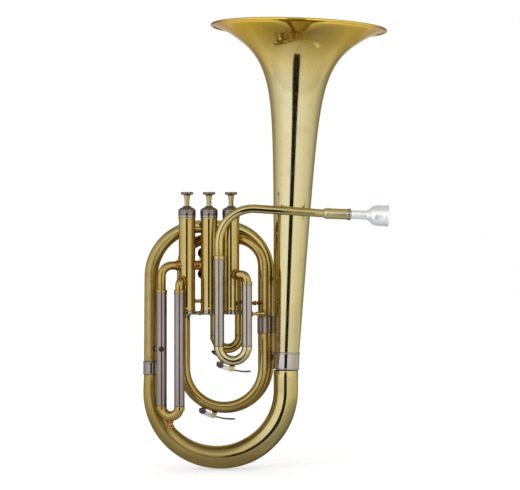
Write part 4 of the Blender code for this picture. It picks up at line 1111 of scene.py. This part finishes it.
main_mid = ((MAIN_L + MAIN_R) / 2, MAIN_SHOULDER - 0.6)
drain_key("drain_1", "water_key_1", "main_slide", "drain_key_1", (-44.2, 137.6), (-59.6, 143.2), (-19.3, 134.2),
          MAIN_Y, main_mid, 18.4 + BOW_R)
drain_key("drain_2", "water_key_2", HORN, "drain_key_2", (-69.5, 71.0), (-84.6, 77.4), (-41.0, 66.0), 33.0,
          (-54.2, 139.2), 58.1 + 7.3)

# ------------------------------------------------------------------ studio
def light_card(name, verts, faces, build):
    me = bpy.data.meshes.new(name)
    me.from_pydata(verts, [], faces)
    ob = bpy.data.objects.new(name, me)
    bpy.context.scene.collection.objects.link(ob)
    m = bpy.data.materials.new(name)
    m.use_nodes = True
    nt = m.node_tree
    for n in list(nt.nodes):
        nt.nodes.remove(n)
    out = nt.nodes.new("ShaderNodeOutputMaterial")
    build(nt, out)
    me.materials.append(m)
    return ob


# brightness round the studio, by azimuth from the camera's side (degrees, + to the right)
TENT = [(-180, 0.80), (-168, 0.80), (-150, 0.45), (-125, 0.52), (-103, 0.74), (-75, 0.96), (-50, 1.14), (-24, 1.16),
        (0, 1.05), (20, 1.08), (41, 1.02), (63, 0.92), (90, 0.80), (120, 0.55), (150, 0.42), (168, 0.80), (180, 0.80)]
SLIT = (-18.5, 7.5)       # the dark gap between the two halves of the tent, degrees
SLIT_TOP = 0.62           # its height on the tent's wall, metres
TENT_X = 0.034            # the tent is centred on the bell


def tent_shader(nt, out, floor_part):
    tc = nt.nodes.new("ShaderNodeTexCoord")
    sp = nt.nodes.new("ShaderNodeSeparateXYZ")
    nt.links.new(tc.outputs["Object"], sp.inputs[0])
    px = math_node(nt, 'SUBTRACT', sp.outputs["X"], TENT_X)
    neg = math_node(nt, 'MULTIPLY', sp.outputs["Y"], -1.0)
    az = math_node(nt, 'ARCTAN2', px, neg)
    f = remap(nt, az, -math.pi, math.pi, 0.0, 1.0)
    cv = nt.nodes.new("ShaderNodeFloatCurve")
    nt.links.new(f, cv.inputs["Value"])
    curve = cv.mapping.curves[0]
    pts = [((a + 180) / 360.0, v / 1.25) for a, v in TENT]
    curve.points[0].location = pts[0]
    curve.points[1].location = pts[-1]
    for p in pts[1:-1]:
        curve.points.new(*p)
    cv.mapping.update()
    level = math_node(nt, 'MULTIPLY', cv.outputs[0], 1.25)
    # the gap: dark between two azimuths
    # (it narrows a little with height)
    squeeze = 0.0 if floor_part else remap(nt, sp.outputs["Z"], 0.0, SLIT_TOP, 0.0, 1.0)
    az_lo = math_node(nt, 'SUBTRACT', az, math_node(nt, 'MULTIPLY', squeeze, math.radians(3.5)))
    az_hi = math_node(nt, 'ADD', az, math_node(nt, 'MULTIPLY', squeeze, math.radians(1.0)))
    lo = remap(nt, az_lo, math.radians(SLIT[0] - 0.6), math.radians(SLIT[0] + 0.6), 0.0, 1.0)
    hi = remap(nt, az_hi, math.radians(SLIT[1] - 0.6), math.radians(SLIT[1] + 0.6), 1.0, 0.0)
    gap = math_node(nt, 'MULTIPLY', lo, hi)
    if floor_part:
        level = math_node(nt, 'MULTIPLY', level, remap(nt, sp.outputs["Y"], 0.0, 0.5, 1.0, 1.5))
        r2 = math_node(nt, 'ADD', math_node(nt, 'MULTIPLY', px, px),
                       math_node(nt, 'MULTIPLY', sp.outputs["Y"], sp.outputs["Y"]))
        rad = math_node(nt, 'SQRT', r2, 0.0)
        gap = math_node(nt, 'MULTIPLY', gap, remap(nt, rad, 0.262, 0.285, 0.0, 1.0))
        # painted shadow: the sheen dims towards the instrument, standing in for its own shadow on the table
        level = math_node(nt, 'MULTIPLY', level, remap(nt, rad, 0.04, 0.70, 0.37, 0.84))
    else:
        level = math_node(nt, 'MULTIPLY', level, remap(nt, sp.outputs["Z"], 1.1, 2.6, 1.0, 0.42))
        gap = math_node(nt, 'MULTIPLY', gap, remap(nt, sp.outputs["Z"], SLIT_TOP - 0.05, SLIT_TOP + 0.05, 1.0, 0.0))
    level = math_node(nt, 'MULTIPLY', level, math_node(nt, 'SUBTRACT', 1.0, math_node(nt, 'MULTIPLY', gap, 0.985)))
    em = nt.nodes.new("ShaderNodeEmission")
    cool = math_node(nt, 'MULTIPLY', remap(nt, az, math.radians(-110), math.radians(-55), 0.0, 1.0),
                     remap(nt, az, math.radians(-30), math.radians(60), 1.0, 0.0))
    nt.links.new(mix_colour(nt, cool, (1.0, 0.975, 0.90), (0.97, 0.985, 1.10)), em.inputs["Color"])
    nt.links.new(level, em.inputs["Strength"])
    nt.links.new(em.outputs[0], out.inputs[0])


R_T, H_T = 1.7, 2.6
seg = 96
v, f = [], []
for k in range(seg):
    a = 2 * math.pi * k / seg
    v += [(R_T * math.cos(a), R_T * math.sin(a), 0.0008), (R_T * math.cos(a), R_T * math.sin(a), H_T)]
for k in range(seg):
    l = (k + 1) % seg
    f.append((2 * k, 2 * l, 2 * l + 1, 2 * k + 1))
wall = light_card("studio_wall", v, f, lambda nt, out: tent_shader(nt, out, False))
v = [(0.0, 0.0, -0.0006)] + [(R_T * math.cos(2 * math.pi * k / seg), R_T * math.sin(2 * math.pi * k / seg), -0.0006)
                             for k in range(seg)]
f = [(0, 1 + k, 1 + (k + 1) % seg) for k in range(seg)]
glow = light_card("studio_table_sheen", v, f, lambda nt, out: tent_shader(nt, out, True))
# dim roof of the tent, above the lights
def roof_shader(nt, out):
    em = nt.nodes.new("ShaderNodeEmission")
    em.inputs["Color"].default_value = (1.0, 0.98, 0.95, 1.0)
    em.inputs["Strength"].default_value = 0.42
    nt.links.new(em.outputs[0], out.inputs[0])


v = [(0.0, 0.0, H_T)] + [(R_T * math.cos(2 * math.pi * k / seg), R_T * math.sin(2 * math.pi * k / seg), H_T)
                         for k in range(seg)]
roof = light_card("studio_roof", v, f, roof_shader)
for ob in (wall, glow, roof):
    ob.visible_camera = False
    ob.visible_diffuse = False
    ob.visible_shadow = False
    ob.visible_transmission = False
    ob.visible_volume_scatter = False

me = bpy.data.meshes.new("floor")
me.from_pydata([(-30, -30, -0.0009), (30, -30, -0.0009), (30, 30, -0.0009), (-30, 30, -0.0009)], [], [(0, 1, 2, 3)])
floor = bpy.data.objects.new("floor", me)
bpy.context.scene.collection.objects.link(floor)
m, nt, p = nodes_of("floor_paper")
grain = mapped_noise(nt, 40.0, 4.0)
nt.links.new(mix_colour(nt, remap(nt, grain, 0.3, 0.7, 0, 1), (0.50, 0.50, 0.50), (0.485, 0.485, 0.486)),
             p.inputs["Base Color"])
p.inputs["Roughness"].default_value = 0.95
p.inputs["Specular IOR Level"].default_value = 0.0
p.inputs["Emission Color"].default_value = (1, 1, 1, 1)
p.inputs["Emission Strength"].default_value = 0.52
me.materials.append(m)

w = bpy.data.worlds.new("studio")
w.use_nodes = True
bg = w.node_tree.nodes["Background"]
bg.inputs[0].default_value = (1.0, 1.0, 1.0, 1.0)
bg.inputs[1].default_value = 1.0
bpy.context.scene.world = w


def lamp(name, loc, aim, size, power, colour=(1, 1, 1)):
    d = bpy.data.lights.new(name, 'AREA')
    d.shape = 'RECTANGLE'
    d.size, d.size_y = size
    d.energy = power
    d.color = colour
    ob = bpy.data.objects.new(name, d)
    bpy.context.scene.collection.objects.link(ob)
    ob.location = loc
    ob.rotation_euler = (Vector(aim) - Vector(loc)).to_track_quat('-Z', 'Y').to_euler()
    ob.visible_glossy = False
    return ob


lamp("key_left", (-1.6, -1.7, 1.5), (0, 0, 0.3), (1.2, 1.2), 14)
lamp("fill_right", (1.8, -1.2, 1.1), (0, 0, 0.3), (1.0, 1.4), 6)

bpy.context.scene.view_settings.view_transform = 'Standard'
bpy.context.scene.view_settings.look = 'None'

bpy.context.view_layer.update()
